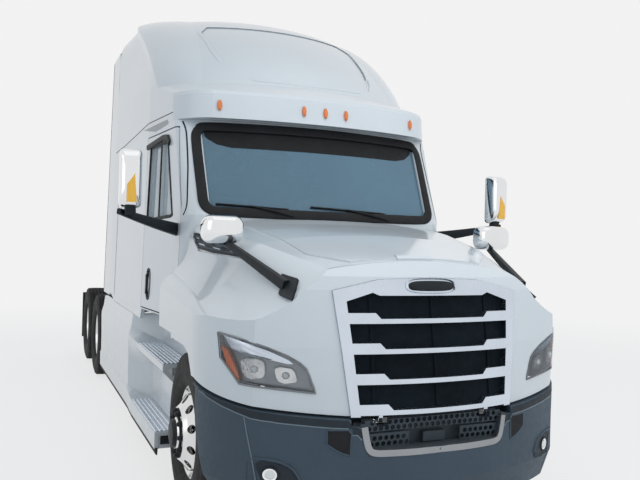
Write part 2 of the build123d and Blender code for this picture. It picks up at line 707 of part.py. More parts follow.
def hood_mirrors():
    """The convex mirrors over the fenders, each on a long arm from a base on the hood's flank."""
    arm = tapered_bar((800, behind(350), 1500), (995, behind(1050), 1750), 66, 42)
    foot = side_plate([(behind(480), 1560), (behind(345), 1540), (behind(240), 1425), (behind(370), 1440)],
                      700, 900) & (hood_body(-18) - hood_body(-running_gap))
    head = Pos(1005, behind(1060), 1815) * mirror_head(265, 150, 180, 60)
    whole = arm + foot + head - hood_body(-running_gap)
    return pair(whole.solids().sort_by(SortBy.VOLUME)[-1])


# ---- cab ------------------------------------------------------------------------------------------------
def side_x(station, z):
    """The cab's half width at a station and height."""
    along = min(station, door_rear) - door_front
    beyond = max(station - door_rear, 0)
    return cab_half_width + along * cab_flare + beyond * sleeper_flare - (z - belt_height) * side_lean


def cab_face(z, middle, edge_x, edge, corner, rear, inset=0.0, narrow=0.0):
    """The cab's plan at one height.

    middle is the front's station on the centre line, (edge_x, edge) where the front arc meets the corner arc,
    corner where the corner arc meets the side, and rear the back wall.
    """
    i = inset
    front = behind(middle + i)
    ex, ey = edge_x - 0.5 * i, behind(edge + i)
    sx, sy = side_x(corner, z) - narrow - i, behind(corner + 0.5 * i)
    wx, wy = side_x(door_rear, z) - narrow - i, behind(max(door_rear, corner + 200))
    rx, ry = side_x(rear, z) - narrow - i, behind(rear - i)
    mid = (ex + 0.62 * (sx - ex), ey + 0.38 * (sy - ey))
    edges = [ThreePointArc((-ex, ey), (0, front), (ex, ey)),
             ThreePointArc((ex, ey), mid, (sx, sy)),
             Line((sx, sy), (wx, wy)),
             Line((wx, wy), (rx, ry)),
             Line((rx, ry), (-rx, ry)),
             Line((-rx, ry), (-wx, wy)),
             Line((-wx, wy), (-sx, sy)),
             ThreePointArc((-sx, sy), (-mid[0], mid[1]), (-ex, ey))]
    return Plane.XY.offset(z) * make_face(edges)


@cache
def cab_body(inset):
    return loft([cab_face(cab_bottom + inset, 1760, 960, 1840, 1945, cab_rear, inset),
                 cab_face(belt_height, cab_front, 960, 1806, 1945, cab_rear, inset),
                 cab_face(roof_seam + (1 if inset else 0), 1985, 960, 2160, 2235, cab_rear, inset)], ruled=True)


door_inside = 965.0


def door_outline(gap=0.0):
    """The door's outline in (y, z)."""
    g = gap
    return [(behind(door_front - g), door_bottom - g), (behind(door_front - g), door_knee + 3.5 * g),
            (behind(door_top_front - g), door_top + g), (behind(door_rear + g), door_top + g),
            (behind(door_rear + g), door_bottom - g)]


window_outline = [(2180, 1930), (2390, 2510), (2900, 2520), (2930, 1905)]    # (behind, height)
window_bar = 2535.0              # the front edge of the bar between the two panes
window_bar_width = 45.0
glass_behind = 25.0              # how deep the glass lies in the door
handle_station = 2800.0
handle_height = 1370.0
pin_radius = 6.0
leaf_heights = (1330.0, 1790.0)
leaf_thickness = 8.0


def hinge_axis():
    """The left door's hinge axis as a plane at the belt: its z direction runs along the axis."""
    depth = 12.0
    origin = (side_x(door_front, belt_height) - depth, behind(door_front + depth), belt_height)
    return Plane(origin=origin, x_dir=(1, 0, side_lean), z_dir=(-side_lean, 0, 1))


def hinge_leaves():
    """The left door's hinge pins with the leaves that carry them, which reach back into the cab's post."""
    axis = hinge_axis()
    leaves = []
    for height in leaf_heights:
        level = height - belt_height
        pin = axis * Pos(0, 0, level) * Cylinder(pin_radius, 2 * 24 + leaf_thickness)
        leaf = axis * Pos(0, 0, level) * Rot(0, 0, 205) * Pos(32, 0, 0) * Box(64, 2 * pin_radius, leaf_thickness)
        root = axis * Pos(-52, -32, level) * Box(16, 36, leaf_thickness)
        leaves.append(pin + leaf + root)
    return leaves


def hinge_pockets():
    """The room for the leaves, and the bores for the pins, in the left door."""
    axis = hinge_axis()
    pockets = []
    for height in leaf_heights:
        level = height - belt_height
        room = leaf_thickness + 6
        pocket = axis * Pos(-31, -6, level) * Box(78, 30, room)
        bore = axis * Pos(0, 0, level) * Cylinder(pin_radius + running_gap, 2 * 26 + leaf_thickness)
        pockets += [pocket, bore]
    return pockets


def cab_shell():
    shell = cab_body(0) - cab_body(cab_wall)
    for side in (-1, 1):
        shell -= side_plate(door_outline(swing_gap), side * (door_inside - 10), side * 1400)
    # windshield opening
    frame_front = Plane.XZ * make_face(Polyline((-900, 1975), (900, 1975), (915, 2590), (-915, 2590), close=True))
    shell -= Pos(0, behind(2250), 0) * extrude(frame_front, amount=900)
    for leaf in hinge_leaves():
        shell += leaf
        shell += other_side(leaf)
    return shell


def windshield():
    glass = cab_body(20) - cab_body(20 + glass_thickness)
    pane = Plane.XZ * make_face(Polyline((-899, 1976), (899, 1976), (914, 2589), (-914, 2589), close=True))
    return glass & (Pos(0, behind(2250), 0) * extrude(pane, amount=900))


def door(side):
    panel = cab_body(0) - cab_body(cab_wall)
    panel = panel & side_plate(door_outline(), door_inside, 1400)
    window = side_plate([(behind(u), z) for u, z in window_outline], 800, 1400)
    bar = block(800, 1400, behind(window_bar), behind(window_bar + window_bar_width), 1900, 2530)
    panel -= window - bar
    panel -= (window & bar) - (cab_body(0) - cab_body(glass_behind - running_gap))
    # a tall oval recess with an upright grip in it
    place = Pos(1100, behind(handle_station), handle_height) * Rot(0, 90, 0)
    recess = place * extrude(SlotOverall(240, 110), amount=100, both=True)
    grip = place * extrude(SlotOverall(230, 40), amount=100, both=True)
    outer_layer = cab_body(0) - cab_body(24)
    panel -= (outer_layer & recess) - (grip & (cab_body(4) - cab_body(40)))
    for pocket in hinge_pockets():
        panel -= pocket
    return panel if side > 0 else other_side(panel)


def door_glass(side):
    pane = cab_body(glass_behind) - cab_body(glass_behind + glass_thickness)
    window = [(behind(u), z) for u, z in window_outline]
    pane = pane & side_plate(window, 800, 1400)
    return pane if side > 0 else other_side(pane)


def tapered_bar(start, end, wide_start, wide_end):
    """A square bar between two points, as wide as said at each end."""
    along = Plane(origin=start, z_dir=Vector(*end) - Vector(*start))
    length = (Vector(*end) - Vector(*start)).length
    ends = [along * RectangleRounded(wide_start, 0.7 * wide_start, 0.2 * wide_start),
            along * Pos(0, 0, length) * RectangleRounded(wide_end, 0.7 * wide_end, 0.14 * wide_end)]
    return loft(ends, ruled=True)


def mirror_head(width, depth, height, rounding):
    """A mirror housing, flat towards the driver and domed towards the front."""
    outline = RectangleRounded(width, height, rounding)
    front = Pos(0, 0, depth) * RectangleRounded(0.72 * width, 0.86 * height, 0.7 * rounding)
    middle = Pos(0, 0, 0.6 * depth) * RectangleRounded(0.94 * width, 0.96 * height, 0.95 * rounding)
    return Rot(90, 0, 0) * loft([outline, middle, front], ruled=True)


def door_mirror(side):
    """The main mirror on its arm, which leaves the door's front corner."""
    root_x = side_x(door_front, 1800) - 46
    arm = tapered_bar((root_x, behind(2110), 1800), (1555, behind(1655), 1925), 104, 46)
    head = Pos(1475, behind(1700), 2150) * Rot(0, 0, 8) * mirror_head(150, 150, 400, 30)
    stub = block(1440, 1520, behind(1625), behind(1700), 1905, 1960)
    whole = arm + head + stub - cab_body(-running_gap)
    return whole if side > 0 else other_side(whole)


def roof_face(row, inset, drop=0.0):
    z, middle, edge_x, edge, corner, narrow = row
    i = inset
    return cab_face(z - drop, middle + i, edge_x - 0.5 * i, edge + i, corner + i, cab_rear, i, narrow)


@cache
def roof_body(inset):
    """The roof cap's outer form drawn in by inset: an upright brow, a shelf and a smooth raised roof."""
    # (height, front on the centre line, edge x, edge, corner, narrowing)
    brow = [(roof_seam + running_gap, 1850, 860, 1975, 2300, 0),
            (2850, 1862, 860, 1990, 2325, 0),
            (2880, 1885, 860, 2015, 2350, 0),
            (3000, 2130, 850, 2400, 2780, 0)]
    crown = [brow[-1],
             (3300, 2440, 800, 2700, 3100, 0),
             (3600, 2870, 760, 3120, 3560, 0),
             (3800, 3290, 720, 3540, 3980, 20),
             (roof_top - inset, 4050, 520, 4250, 4450, 330)]
    lower = loft([roof_face(row, inset, inset if row is brow[0] else 0) for row in brow], ruled=True)
    upper = loft([roof_face(row, inset) for row in crown])
    return lower + upper


def roof_cap():
    """The cap with the shallow dished panel in its front."""
    shell = roof_body(0) - roof_body(cab_wall)
    dish = [(-500, 3050), (500, 3050), (600, 3090), (660, 3170), (700, 3340), (720, 3600), (640, 3690),
            (-640, 3690), (-720, 3600), (-700, 3340), (-660, 3170), (-600, 3090)]
    face = Plane.XZ * make_face(Polyline(*dish, close=True))
    return shell - ((Pos(0, behind(3400), 0) * extrude(face, amount=1400)) - roof_body(dish_depth))


def side_extenders():
    t = 25.0
    y0, y1 = behind(cab_rear), behind(5450)
    x_low = side_x(cab_rear, 1130)
    x_top = side_x(cab_rear, 3760)
    outline = [(x_low, 1130), (x_low - t, 1130), (x_top - t, 3760), (x_top, 3760)]
    panel = Plane.XZ * make_face(Polyline(*outline, close=True))
    panel = Pos(0, y1, 0) * extrude(panel, amount=y1 - y0 - running_gap)
    return pair(panel)


# ---- fairings -------------------------------------------------------------------------------------------
upper_step = 850.0
lower_step = 370.0
fairing_front = 1842.0           # clear of the steered front tyre


def sheet(outside, inside):
    """The cross-section of a bent panel: its outer corners from the top down, and its inner ones."""
    return Plane.XZ * make_face(Polyline(*outside, *reversed(inside), close=True))


def chassis_fairings():
    # (across, height) from the top down, of the panel with its two steps and of the plain panel behind them
    stepped = sheet([(985, 1110), (985, upper_step), (1200, upper_step), (1200, 800), (1065, 660),
                     (1075, lower_step), (1245, lower_step), (1245, 255)],
                    [(955, 1110), (955, upper_step - 30), (1170, upper_step - 30), (1170, 812), (1035, 672),
                     (1045, lower_step - 30), (1215, lower_step - 30), (1215, 255)])
    plain = sheet([(1195, 1065), (1208, 960), (1230, 880), (1232, 840), (1228, 640), (1226, 430), (1236, 400),
                   (1234, 258)],
                  [(1165, 1065), (1178, 955), (1200, 872), (1202, 838), (1198, 640), (1196, 425), (1206, 388),
                   (1204, 258)])
    front, turn, full, rear = behind(fairing_front), behind(3050), behind(3400), behind(5700)
    panel = Pos(0, turn, 0) * extrude(stepped, amount=turn - front)
    panel += loft([Pos(0, turn, 0) * stepped, Pos(0, full, 0) * plain], ruled=True)
    panel += Pos(0, rear, 0) * extrude(plain, amount=rear - full)
    # the flange behind the wheel, the front of the lower step and the ledge under the cab
    panel += block(955, 1000, front, front + 36, 250, 1110)
    panel += block(1000, 1215, front + 4, front + 24, 255, lower_step - 10)
    panel += block(900, 970, front + 4, turn, 1090, 1110)
    # grooves along the treads
    for row in range(5):
        for inner, height in ((1015, upper_step), (1105, lower_step)):
            x = inner + 28 * row if height == upper_step else inner + 24 * row
            panel -= block(x, x + 10, front + 60, turn - 60, height - 6, height + 5)
    rail = frame_width / 2 + running_gap
    for station, reach in ((2900, 970), (5200, 1180)):
        panel += block(rail, reach, behind(station), behind(station + 60), frame_top - 90, frame_top - 40)
    return pair(panel)


# ---- fifth wheel ----------------------------------------------------------------------------------------
fifth_pivot_z = 1105.0
plate_thickness = 40.0


def fifth_wheel_base():
    y = behind(fifth_wheel_behind)
    base = block(-frame_width / 2 - 30, frame_width / 2 + 30, y - 450, y + 450, frame_top, frame_top + 20)
    for side in (-1, 1):
        foot = side_plate([(y - 140, frame_top + 20), (y + 140, frame_top + 20), (y + 40, fifth_pivot_z + 25),
                           (y - 40, fifth_pivot_z + 25)], side * 400, side * 440)
        base += foot
        base += rod_x(22, side * 330, side * 440, y, fifth_pivot_z)
    return base


def fifth_wheel_plate():
    y = behind(fifth_wheel_behind)
    low = fifth_wheel_height - plate_thickness
    plate = rod_z(460, low, fifth_wheel_height, 0, y)
    plate += block(-430, 430, y - 60, y + 420, low, fifth_wheel_height)
    throat = make_face(Polyline((-kingpin_radius - 30, y), (kingpin_radius + 30, y), (180, y + 600),
                                (-180, y + 600), close=True))
    plate -= Pos(0, 0, low - 10) * extrude(throat, amount=plate_thickness + 20)
    jaw = block(-150, 150, y - 90, y + 120, low - 45, low)
    plate += jaw
    plate += block(-kingpin_radius - 40, kingpin_radius + 40, y - 60, y + 70, low - 45, fifth_wheel_height - 8)
    plate -= rod_z(kingpin_radius + running_gap, low - 60, fifth_wheel_height + 10, 0, y)
    for side in (-1, 1):
        lug = block(side * 340, side * 392, y - 60, y + 60, fifth_pivot_z - 40, low)
        lug -= rod_x(22 + running_gap, side * 300, side * 420, y, fifth_pivot_z)
        plate += lug
    return plate


# ---- interior and lamps ---------------------------------------------------------------------------------
def interior_trim():
    inside = cab_body(cab_wall + running_gap)
    dash = block(-930, 930, behind(1700), behind(2150), 1270, 1900) & inside
    lean = Rot(-40, 0, 0)
    wheel_centre = Pos(430, behind(2290), 1900)
    column = wheel_centre * lean * Pos(0, 0, -150) * Cylinder(28, 300)
    ring = wheel_centre * lean * Torus(215, 16)
    spokes = wheel_centre * lean * Box(420, 50, 24)
    header = block(-1100, 1100, behind(2250), behind(2560), 2460, 2640) & inside
    return Compound(children=[(dash + column + ring + spokes).solid(), header.solid()])


floor_top = cab_bottom + cab_wall


def seats():
    out = []
    z = floor_top + running_gap
    for x in (-480, 480):
        seat = block(x - 200, x + 200, behind(2620), behind(3040), z, z + 330)
        seat += block(x - 250, x + 250, behind(2560), behind(3080), z + 330, z + 450)
        seat += block(x - 240, x + 240, behind(3000), behind(3140), z + 400, z + 1130)
        out.append(seat.solid())
    bunk = block(-1200, 1200, behind(3900), behind(cab_rear), z, z + 450) & cab_body(cab_wall + running_gap)
    out.append(bunk.solid())
    return Compound(children=out)


def lamps():
    out = []
    brow = roof_body(-running_gap)
    # (across, behind, height)
    for x, station, z in [(0, 1850, 2760), (176, 1862, 2760), (-176, 1862, 2760), (810, 1950, 2760),
                          (-810, 1950, 2760)]:
        marker = Plane.XZ * Pos(x, z) * SlotOverall(80, 34, rotation=90)
        marker = Pos(0, behind(station), 0) * extrude(marker, amount=30, both=True)
        out.append((marker - brow).solids().sort_by(Axis.Y)[0])
    for side in (-1, 1):
        lens = Pos(side * fog_x, behind(fog_station), fog_height) * Box(fog_wide, 320, fog_tall)
        out.append((lens & (nose_prism(14) - nose_prism(60))).solid())
        tail = Pos(side * 240, overall_length / 2 - frame_tail + 30 + running_gap, 870) * Box(260, 60, 120)
        out.append(tail.solid())
    return Compound(children=out)


# ---- write the pieces -----------------------------------------------------------------------------------
save("frame", frame())
save("front_axle_beam", front_axle_beam())
save("front_leaf_springs", front_leaf_springs())
save("tie_rod", tie_rod())
for name, side in (("left", 1), ("right", -1)):
    save(f"knuckle_{name}", knuckle(side))
    save(f"front_tyre_{name}", tyre(side * front_track / 2, front_axle_y))
    save(f"front_rim_{name}", front_rim(side))
    for row, y in drive_axle_ys.items():
        save(f"drive_tyres_{row}_{name}", drive_tyres(side, y))
        save(f"drive_rims_{row}_{name}", drive_rims(side, y))
    save(f"door_{name}", door(side))
    save(f"door_glass_{name}", door_glass(side))
    save(f"door_mirror_{name}", door_mirror(side))
save("drive_axles", drive_axles())
save("rear_suspension", rear_suspension())
save("engine_and_gearbox", engine_and_gearbox())
save("radiator", radiator())
save("tanks_and_boxes", tanks_and_boxes())
save("deck_plate", deck_plate())
save("mud_flaps", mud_flaps())
save("bumper", bumper())
save("bumper_grille", bumper_grille())
save("hood_shell", hood_shell())
save("grille", grille())
save("grille_mesh", grille_mesh())
save("headlamps", headlamps())
save("hood_mirrors", hood_mirrors())
save("cab_shell", cab_shell())
save("roof_cap", roof_cap())
save("windshield", windshield())
save("side_extenders", side_extenders())
save("chassis_fairings", chassis_fairings())
save("fifth_wheel_base", fifth_wheel_base())
save("fifth_wheel_plate", fifth_wheel_plate())
save("interior_trim", interior_trim())
save("seats", seats())
save("lamps", lamps())
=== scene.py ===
"""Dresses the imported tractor: materials, tyres, lamps, mirrors, seats and trim, with a camera and a studio.

Lengths are metres in the CAD's frame: the front faces -Y, the left side is +X and the ground is z = 0.
Stations, often called u, are distances behind the bumper's face.
"""
import json
import math

import bmesh
import bpy
from mathutils import Matrix, Vector
from mathutils.bvhtree import BVHTree


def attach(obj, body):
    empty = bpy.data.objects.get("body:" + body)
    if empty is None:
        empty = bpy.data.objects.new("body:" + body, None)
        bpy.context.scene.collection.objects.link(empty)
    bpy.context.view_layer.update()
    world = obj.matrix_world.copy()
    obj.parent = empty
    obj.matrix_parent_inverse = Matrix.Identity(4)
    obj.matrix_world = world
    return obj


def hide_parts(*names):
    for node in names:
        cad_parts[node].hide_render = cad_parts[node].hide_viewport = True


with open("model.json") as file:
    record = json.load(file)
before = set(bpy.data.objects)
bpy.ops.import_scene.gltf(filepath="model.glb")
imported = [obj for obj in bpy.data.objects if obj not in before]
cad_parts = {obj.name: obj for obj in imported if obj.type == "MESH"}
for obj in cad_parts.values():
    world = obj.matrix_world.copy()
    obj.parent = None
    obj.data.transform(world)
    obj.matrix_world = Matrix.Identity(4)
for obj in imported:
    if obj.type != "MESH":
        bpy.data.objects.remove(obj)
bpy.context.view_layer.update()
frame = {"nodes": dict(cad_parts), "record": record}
nodes = frame["nodes"]

HALF_LENGTH = 4.25
SIDES = (("left", 1), ("right", -1))


def behind(distance):
    """Y of a station given as a distance behind the bumper's face."""
    return distance - HALF_LENGTH


def stations(outline):
    """An outline of (station, height) as (y, height)."""
    return [(behind(u), z) for u, z in outline]


def spot(side, x, u, z):
    """A place on the left side of the tractor, or its mirror image where side is -1."""
    return side * x, behind(u), z


def flipped(side, outline):
    """An outline of (x, height) on the left side, or its mirror image where side is -1."""
    return [(side * x, z) for x, z in outline]


def left_only(side, *names):
    """The CAD nodes that a pair replaces, which only its left piece names."""
    return names if side > 0 else ()


# ---- materials -------------------------------------------
ROAD_FILM = (0.36, 0.34, 0.31, 1)
DUST = (0.45, 0.43, 0.4, 1)
LOOK = {}


def shaded(colour, share):
    return tuple(min(1.0, c * share) for c in colour) + (1.0,)


class Tree:
    """A node tree whose nodes are added one at a time."""

    def __init__(self, tree):
        self.tree = tree

    def set_input(self, made, key, value):
        if isinstance(value, bpy.types.NodeSocket):
            self.tree.links.new(value, made.inputs[key])
        else:
            made.inputs[key].default_value = value

    def node(self, kind, inputs=None, **settings):
        made = self.tree.nodes.new("ShaderNode" + kind)
        for key, value in settings.items():
            setattr(made, key, value)
        for key, value in (inputs or {}).items():
            self.set_input(made, key, value)
        return made

    def maths(self, operation, *values, **settings):
        return self.node("Math", dict(enumerate(values)), operation=operation, **settings).outputs[0]

    def seen(self):
        """1 for rays from the camera, also after a mirror or a glass."""
        path = self.node("LightPath").outputs
        seen = self.maths("MAXIMUM", path["Is Camera Ray"], path["Is Glossy Ray"])
        return self.maths("MAXIMUM", seen, path["Is Transmission Ray"])


class Shader(Tree):
    """The node tree of a new material."""

    def __init__(self, name, roughness, metallic=0.0):
        self.material = bpy.data.materials.new(name)
        self.material.use_nodes = True
        super().__init__(self.material.node_tree)
        self.bsdf = self.tree.nodes["Principled BSDF"]
        self.put("Metallic", metallic)
        self.put("Roughness", roughness)
        self.place = self.node("TexCoord").outputs["Object"]

    def put(self, name, value):
        self.set_input(self.bsdf, name, value)

    def noise(self, scale, detail=3.0, stretch=(1, 1, 1)):
        place = self.node("Mapping", {"Vector": self.place, "Scale": stretch}).outputs["Vector"]
        return self.node("TexNoise", {"Vector": place, "Scale": scale, "Detail": detail}).outputs["Fac"]

    def ramp(self, value, low, high, low_colour, high_colour):
        made = self.node("ValToRGB", {"Fac": value})
        for element, place, colour in zip(made.color_ramp.elements, (low, high), (low_colour, high_colour)):
            element.position = place
            element.color = colour
        return made.outputs["Color"]

    def map(self, value, low, high, to_low, to_high):
        names = ("Value", "From Min", "From Max", "To Min", "To Max")
        return self.node("MapRange", dict(zip(names, (value, low, high, to_low, to_high)))).outputs["Result"]

    def blend(self, share, first, second):
        return self.node("Mix", {0: share, 6: first, 7: second}, data_type="RGBA").outputs[2]

    def bump(self, height, distance, strength=1.0, rounded=0.0):
        inputs = {"Height": height, "Distance": distance, "Strength": strength}
        if rounded:
            inputs["Normal"] = self.node("Bevel", {"Radius": rounded}, samples=4).outputs["Normal"]
        self.put("Normal", self.node("Bump", inputs).outputs["Normal"])

    def part(self, vector, axis):
        return self.node("SeparateXYZ", {"Vector": vector}).outputs[axis]


def painted(name, colour, roughness=0.3, coat=0.6, film=0.2, film_top=1.3, rounded=0.004):
    """Paint with a faint orange peel, and road film that thickens towards the ground."""
    s = Shader(name, roughness)
    base = s.ramp(s.noise(1.6, 4), 0.3, 0.7, shaded(colour, 0.965), shaded(colour, 1.0))
    low = s.map(s.part(s.place, "Z"), 0.3, film_top, film, 0.0)
    patchy = s.maths("MULTIPLY", low, s.map(s.noise(9, 6), 0.35, 0.65, 0.3, 1.0))
    s.put("Base Color", s.blend(patchy, base, ROAD_FILM))
    s.put("Roughness", s.map(patchy, 0, 1, roughness, 0.75))
    s.bump(s.noise(220, 2), 0.0002, 0.3, rounded)
    s.put("Coat Weight", coat)
    s.put("Coat Roughness", 0.06)
    return s.material


def metal(name, colour, roughness, vary=0.12, grain=420, depth=0.00012, rounded=0.0, stretch=(1, 1, 1)):
    """Bare metal with a drawn or polished grain and slight stains."""
    s = Shader(name, roughness, 1.0)
    s.put("Base Color", s.ramp(s.noise(5, 5), 0.3, 0.75, shaded(colour, 1 - vary), shaded(colour, 1.0)))
    s.put("Roughness", s.map(s.noise(14, 5, stretch), 0.3, 0.7, 0.8 * roughness, min(1, 1.3 * roughness)))
    s.bump(s.noise(grain, 2, stretch), depth, 0.5, rounded)
    return s.material


def moulded(name, colour, roughness=0.5, grain=260, depth=0.0004, vary=0.12, rounded=0.003, dust=0.06,
            spec=0.4):
    """Grained plastic or rubber, a little paler where dust lies on it."""
    s = Shader(name, roughness)
    base = s.ramp(s.noise(3.5, 5), 0.3, 0.7, shaded(colour, 1 - vary), shaded(colour, 1 + vary))
    up = s.part(s.node("NewGeometry").outputs["Normal"], "Z")
    lies = s.maths("MULTIPLY", s.map(up, 0.2, 1.0, 0.0, dust), s.noise(12, 4))
    s.put("Base Color", s.blend(lies, base, DUST))
    s.put("Roughness", s.map(s.noise(30, 3), 0.3, 0.7, 0.88 * roughness, min(1, 1.12 * roughness)))
    s.bump(s.noise(grain, 4), depth, 0.6, rounded)
    s.put("Specular IOR Level", spec)
    return s.material


def see_through(name, tint, share, roughness=0.02):
    """Thin glass: mostly clear, with a gloss that grows towards grazing angles."""
    s = Shader(name, roughness)
    s.put("Base Color", shaded(tint, 1))
    s.put("IOR", 1.5)
    cloud = s.map(s.noise(3, 3), 0.3, 0.7, 0.94, 1.06)
    more = s.maths("ADD", s.node("LayerWeight", {"Blend": 0.35}).outputs["Fresnel"], share)
    s.put("Alpha", s.maths("MULTIPLY", more, cloud, use_clamp=True))
    return s.material


def lens(name, colour, pitch=0.008):
    """A coloured lamp lens with fine vertical flutes."""
    s = Shader(name, 0.12)
    wave = s.maths("SINE", s.maths("MULTIPLY", s.part(s.place, "X"), math.tau / pitch))
    s.put("Base Color", s.blend(s.map(wave, -1, 1, 0, 1), shaded(colour, 0.72), shaded(colour, 1.0)))
    s.bump(wave, 0.0006, 0.6)
    s.put("Coat Weight", 0.8)
    return s.material


def woven(name, colour, pitch=0.0035):
    """Seat cloth: crossing threads, soft colour changes and a low sheen."""
    s = Shader(name, 0.9)
    threads = [s.maths("SINE", s.maths("MULTIPLY", s.part(s.place, axis), math.tau / pitch)) for axis in "XZ"]
    weave = s.maths("MULTIPLY", *threads)
    shade = s.ramp(s.noise(7, 4), 0.3, 0.7, shaded(colour, 0.8), shaded(colour, 1.15))
    s.put("Base Color", s.blend(s.map(weave, -1, 1, 0.25, 0), shade, shaded(colour, 0.45)))
    s.bump(weave, 0.0008, 0.7)
    s.put("Sheen Weight", 0.3)
    return s.material


def tyre_tread(name):
    """Black rubber with a dusty tread and a faintly browned side."""
    s = Shader(name, 0.8)
    base = s.ramp(s.noise(6, 6), 0.3, 0.75, (0.018, 0.018, 0.019, 1), (0.042, 0.041, 0.04, 1))
    s.put("Base Color", s.blend(s.map(s.noise(22, 6), 0.5, 0.8, 0, 0.3), base, (0.12, 0.11, 0.1, 1)))
    s.bump(s.noise(350, 3), 0.0006, 0.6)
    s.put("Specular IOR Level", 0.25)
    return s.material


def add_look(name, maker, *values, **more):
    """Adds a look made by one of the makers above."""
    LOOK[name] = maker(f"{name}_look", *values, **more)


add_look("white_paint", painted, (0.585, 0.635, 0.67))
add_look("frame_paint", painted, (0.035, 0.036, 0.038), 0.45, 0.2, 0.55, 1.2, 0.002)
add_look("engine_grey", moulded, (0.16, 0.165, 0.17), 0.7, 90, 0.002, 0.25)
add_look("tank_aluminium", metal, (0.72, 0.73, 0.74), 0.28, 0.12, 90, 0.0003, stretch=(1, 14, 1))
add_look("flap_rubber", moulded, (0.028, 0.028, 0.029), 0.85, 180, 0.0008, 0.3)
add_look("bumper_plastic", moulded, (0.04, 0.064, 0.088), 0.55, 300, 0.0004, 0.06, 0.006, spec=0.35)
add_look("black_plastic", moulded, (0.008, 0.012, 0.016), 0.5, 260, 0.0004, 0.15, spec=0.25)
add_look("screen", moulded, (0.005, 0.009, 0.013), 0.8, 500, 0.0008, 0.3, 0.0, 0.0, spec=0.12)
add_look("honeycomb", moulded, (0.04, 0.053, 0.064), 0.55, 400, 0.0004, 0.2, 0.0, spec=0.25)
add_look("bright_trim", metal, (0.68, 0.75, 0.84), 0.24, 0.08, 500, 0.0001, 0.003)
add_look("clear_glass", see_through, (0.62, 0.7, 0.76), 0.12)
add_look("lamp_lens", see_through, (0.8, 0.84, 0.88), 0.04)
add_look("amber_lens", lens, (0.85, 0.2, 0.03))
add_look("mirror_shell", metal, (0.86, 0.87, 0.88), 0.06, 0.05, 300, 0.00005)
add_look("seat_fabric", woven, (0.15, 0.17, 0.2))
add_look("tyre_rubber", tyre_tread)
add_look("polished_wheel", metal, (0.8, 0.8, 0.8), 0.17, 0.12, 260, 0.0001, 0.003)
add_look("tail_lens", lens, (0.5, 0.02, 0.02))
add_look("liner", moulded, (0.2, 0.23, 0.27), 0.85, 400, 0.0006, 0.1)
add_look("seal", moulded, (0.008, 0.009, 0.011), 0.6, 300, 0.0002, 0.2, spec=0.25)
add_look("bowl", metal, (0.2, 0.225, 0.245), 0.35)
add_look("beam", lens, (0.86, 0.88, 0.88), 0.006)
add_look("crystal", metal, (0.78, 0.8, 0.82), 0.25, 0.55, 70, 0.004)
add_look("satin_trim", metal, (0.36, 0.38, 0.4), 0.36, 0.1, 500, 0.0001, 0.003)
add_look("yellow_lens", lens, (0.92, 0.5, 0.03))
add_look("bumper_band", moulded, (0.018, 0.026, 0.034), 0.6, 300, 0.0004, 0.08, spec=0.25)
add_look("bumper_edge", moulded, (0.13, 0.17, 0.2), 0.5, 300, 0.0002, 0.06)
add_look("shade_paint", painted, (0.34, 0.36, 0.37), 0.5, 0.1)
add_look("windscreen", see_through, (0.15, 0.27, 0.36), 0.52)
add_look("side_glass", see_through, (0.46, 0.53, 0.57), 0.62)

# CAD nodes whose look isn't their slot's
NODE_LOOKS = {"windshield": "windscreen", "door_glass_left": "side_glass", "door_glass_right": "side_glass",
              "grille_mesh": "screen", "bumper_grille": "honeycomb"}


def dress_nodes():
    """Gives every carried-over CAD node the material of its slot, or its own."""
    for subpart in frame["record"]["subparts"]:
        materials = nodes[subpart["node"]].data.materials
        materials.clear()
        materials.append(LOOK[subpart["material_slot"]])
    for name, own in NODE_LOOKS.items():
        nodes[name].data.materials[0] = LOOK[own]


# ---- shaping ---------------------------------------------
def add_piece(name, verts, faces, look, body="chassis", angle=35, replaced=()):
    """A new piece of the visual model, with its material, body and slot."""
    mesh = bpy.data.meshes.new(name)
    mesh.from_pydata([tuple(v) for v in verts], [], faces)
    shape = bmesh.new()
    shape.from_mesh(mesh)
    bmesh.ops.recalc_face_normals(shape, faces=shape.faces)
    shape.to_mesh(mesh)
    shape.free()
    mesh.materials.append(LOOK[look])
    mesh.shade_smooth()
    mesh.set_sharp_from_angle(angle=math.radians(angle))
    piece = bpy.data.objects.new(name, mesh)
    bpy.context.scene.collection.objects.link(piece)
    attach(piece, body)
    if replaced:
        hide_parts(*replaced)
    return piece


def seat(*names, view="front", pieces=()):
    """The faces of the named CAD nodes and any finished pieces, seen in a view, for setting others on them."""
    shape = bmesh.new()
    for thing in [nodes[name] for name in names] + list(pieces):
        shape.from_mesh(thing.data)
    tree = BVHTree.FromBMesh(shape)
    shape.free()
    return tree, view


FAR = 9.0
# the place and direction of a view's ray through (a, b)
RAYS = {"front": (lambda a, b: (a, -FAR, b), (0, 1, 0)),
        "left": (lambda a, b: (FAR, a, b), (-1, 0, 0)),
        "right": (lambda a, b: (-FAR, a, b), (1, 0, 0)),
        "top": (lambda a, b: (a, b, FAR), (0, 0, -1))}


def meet(ground, a, b):
    """The first point of a seat, and its normal, that the view's ray meets, or (None, None)."""
    tree, view = ground
    origin, direction = RAYS[view]
    direction = Vector(direction)
    place, normal = tree.ray_cast(Vector(origin(a, b)), direction)[:2]
    if place is None:
        return None, None
    return place, normal if normal.dot(direction) < 0 else -normal


def dense(points, step, closed=False):
    """The points of a polyline, at most step apart."""
    out = []
    ends = list(zip(points, points[1:] + points[:1])) if closed else list(zip(points, points[1:]))
    for start, end in ends:
        start, end = Vector(start), Vector(end)
        count = max(1, math.ceil((end - start).length / step))
        out += [start.lerp(end, i / count) for i in range(count)]
    return out if closed else out + [Vector(points[-1])]


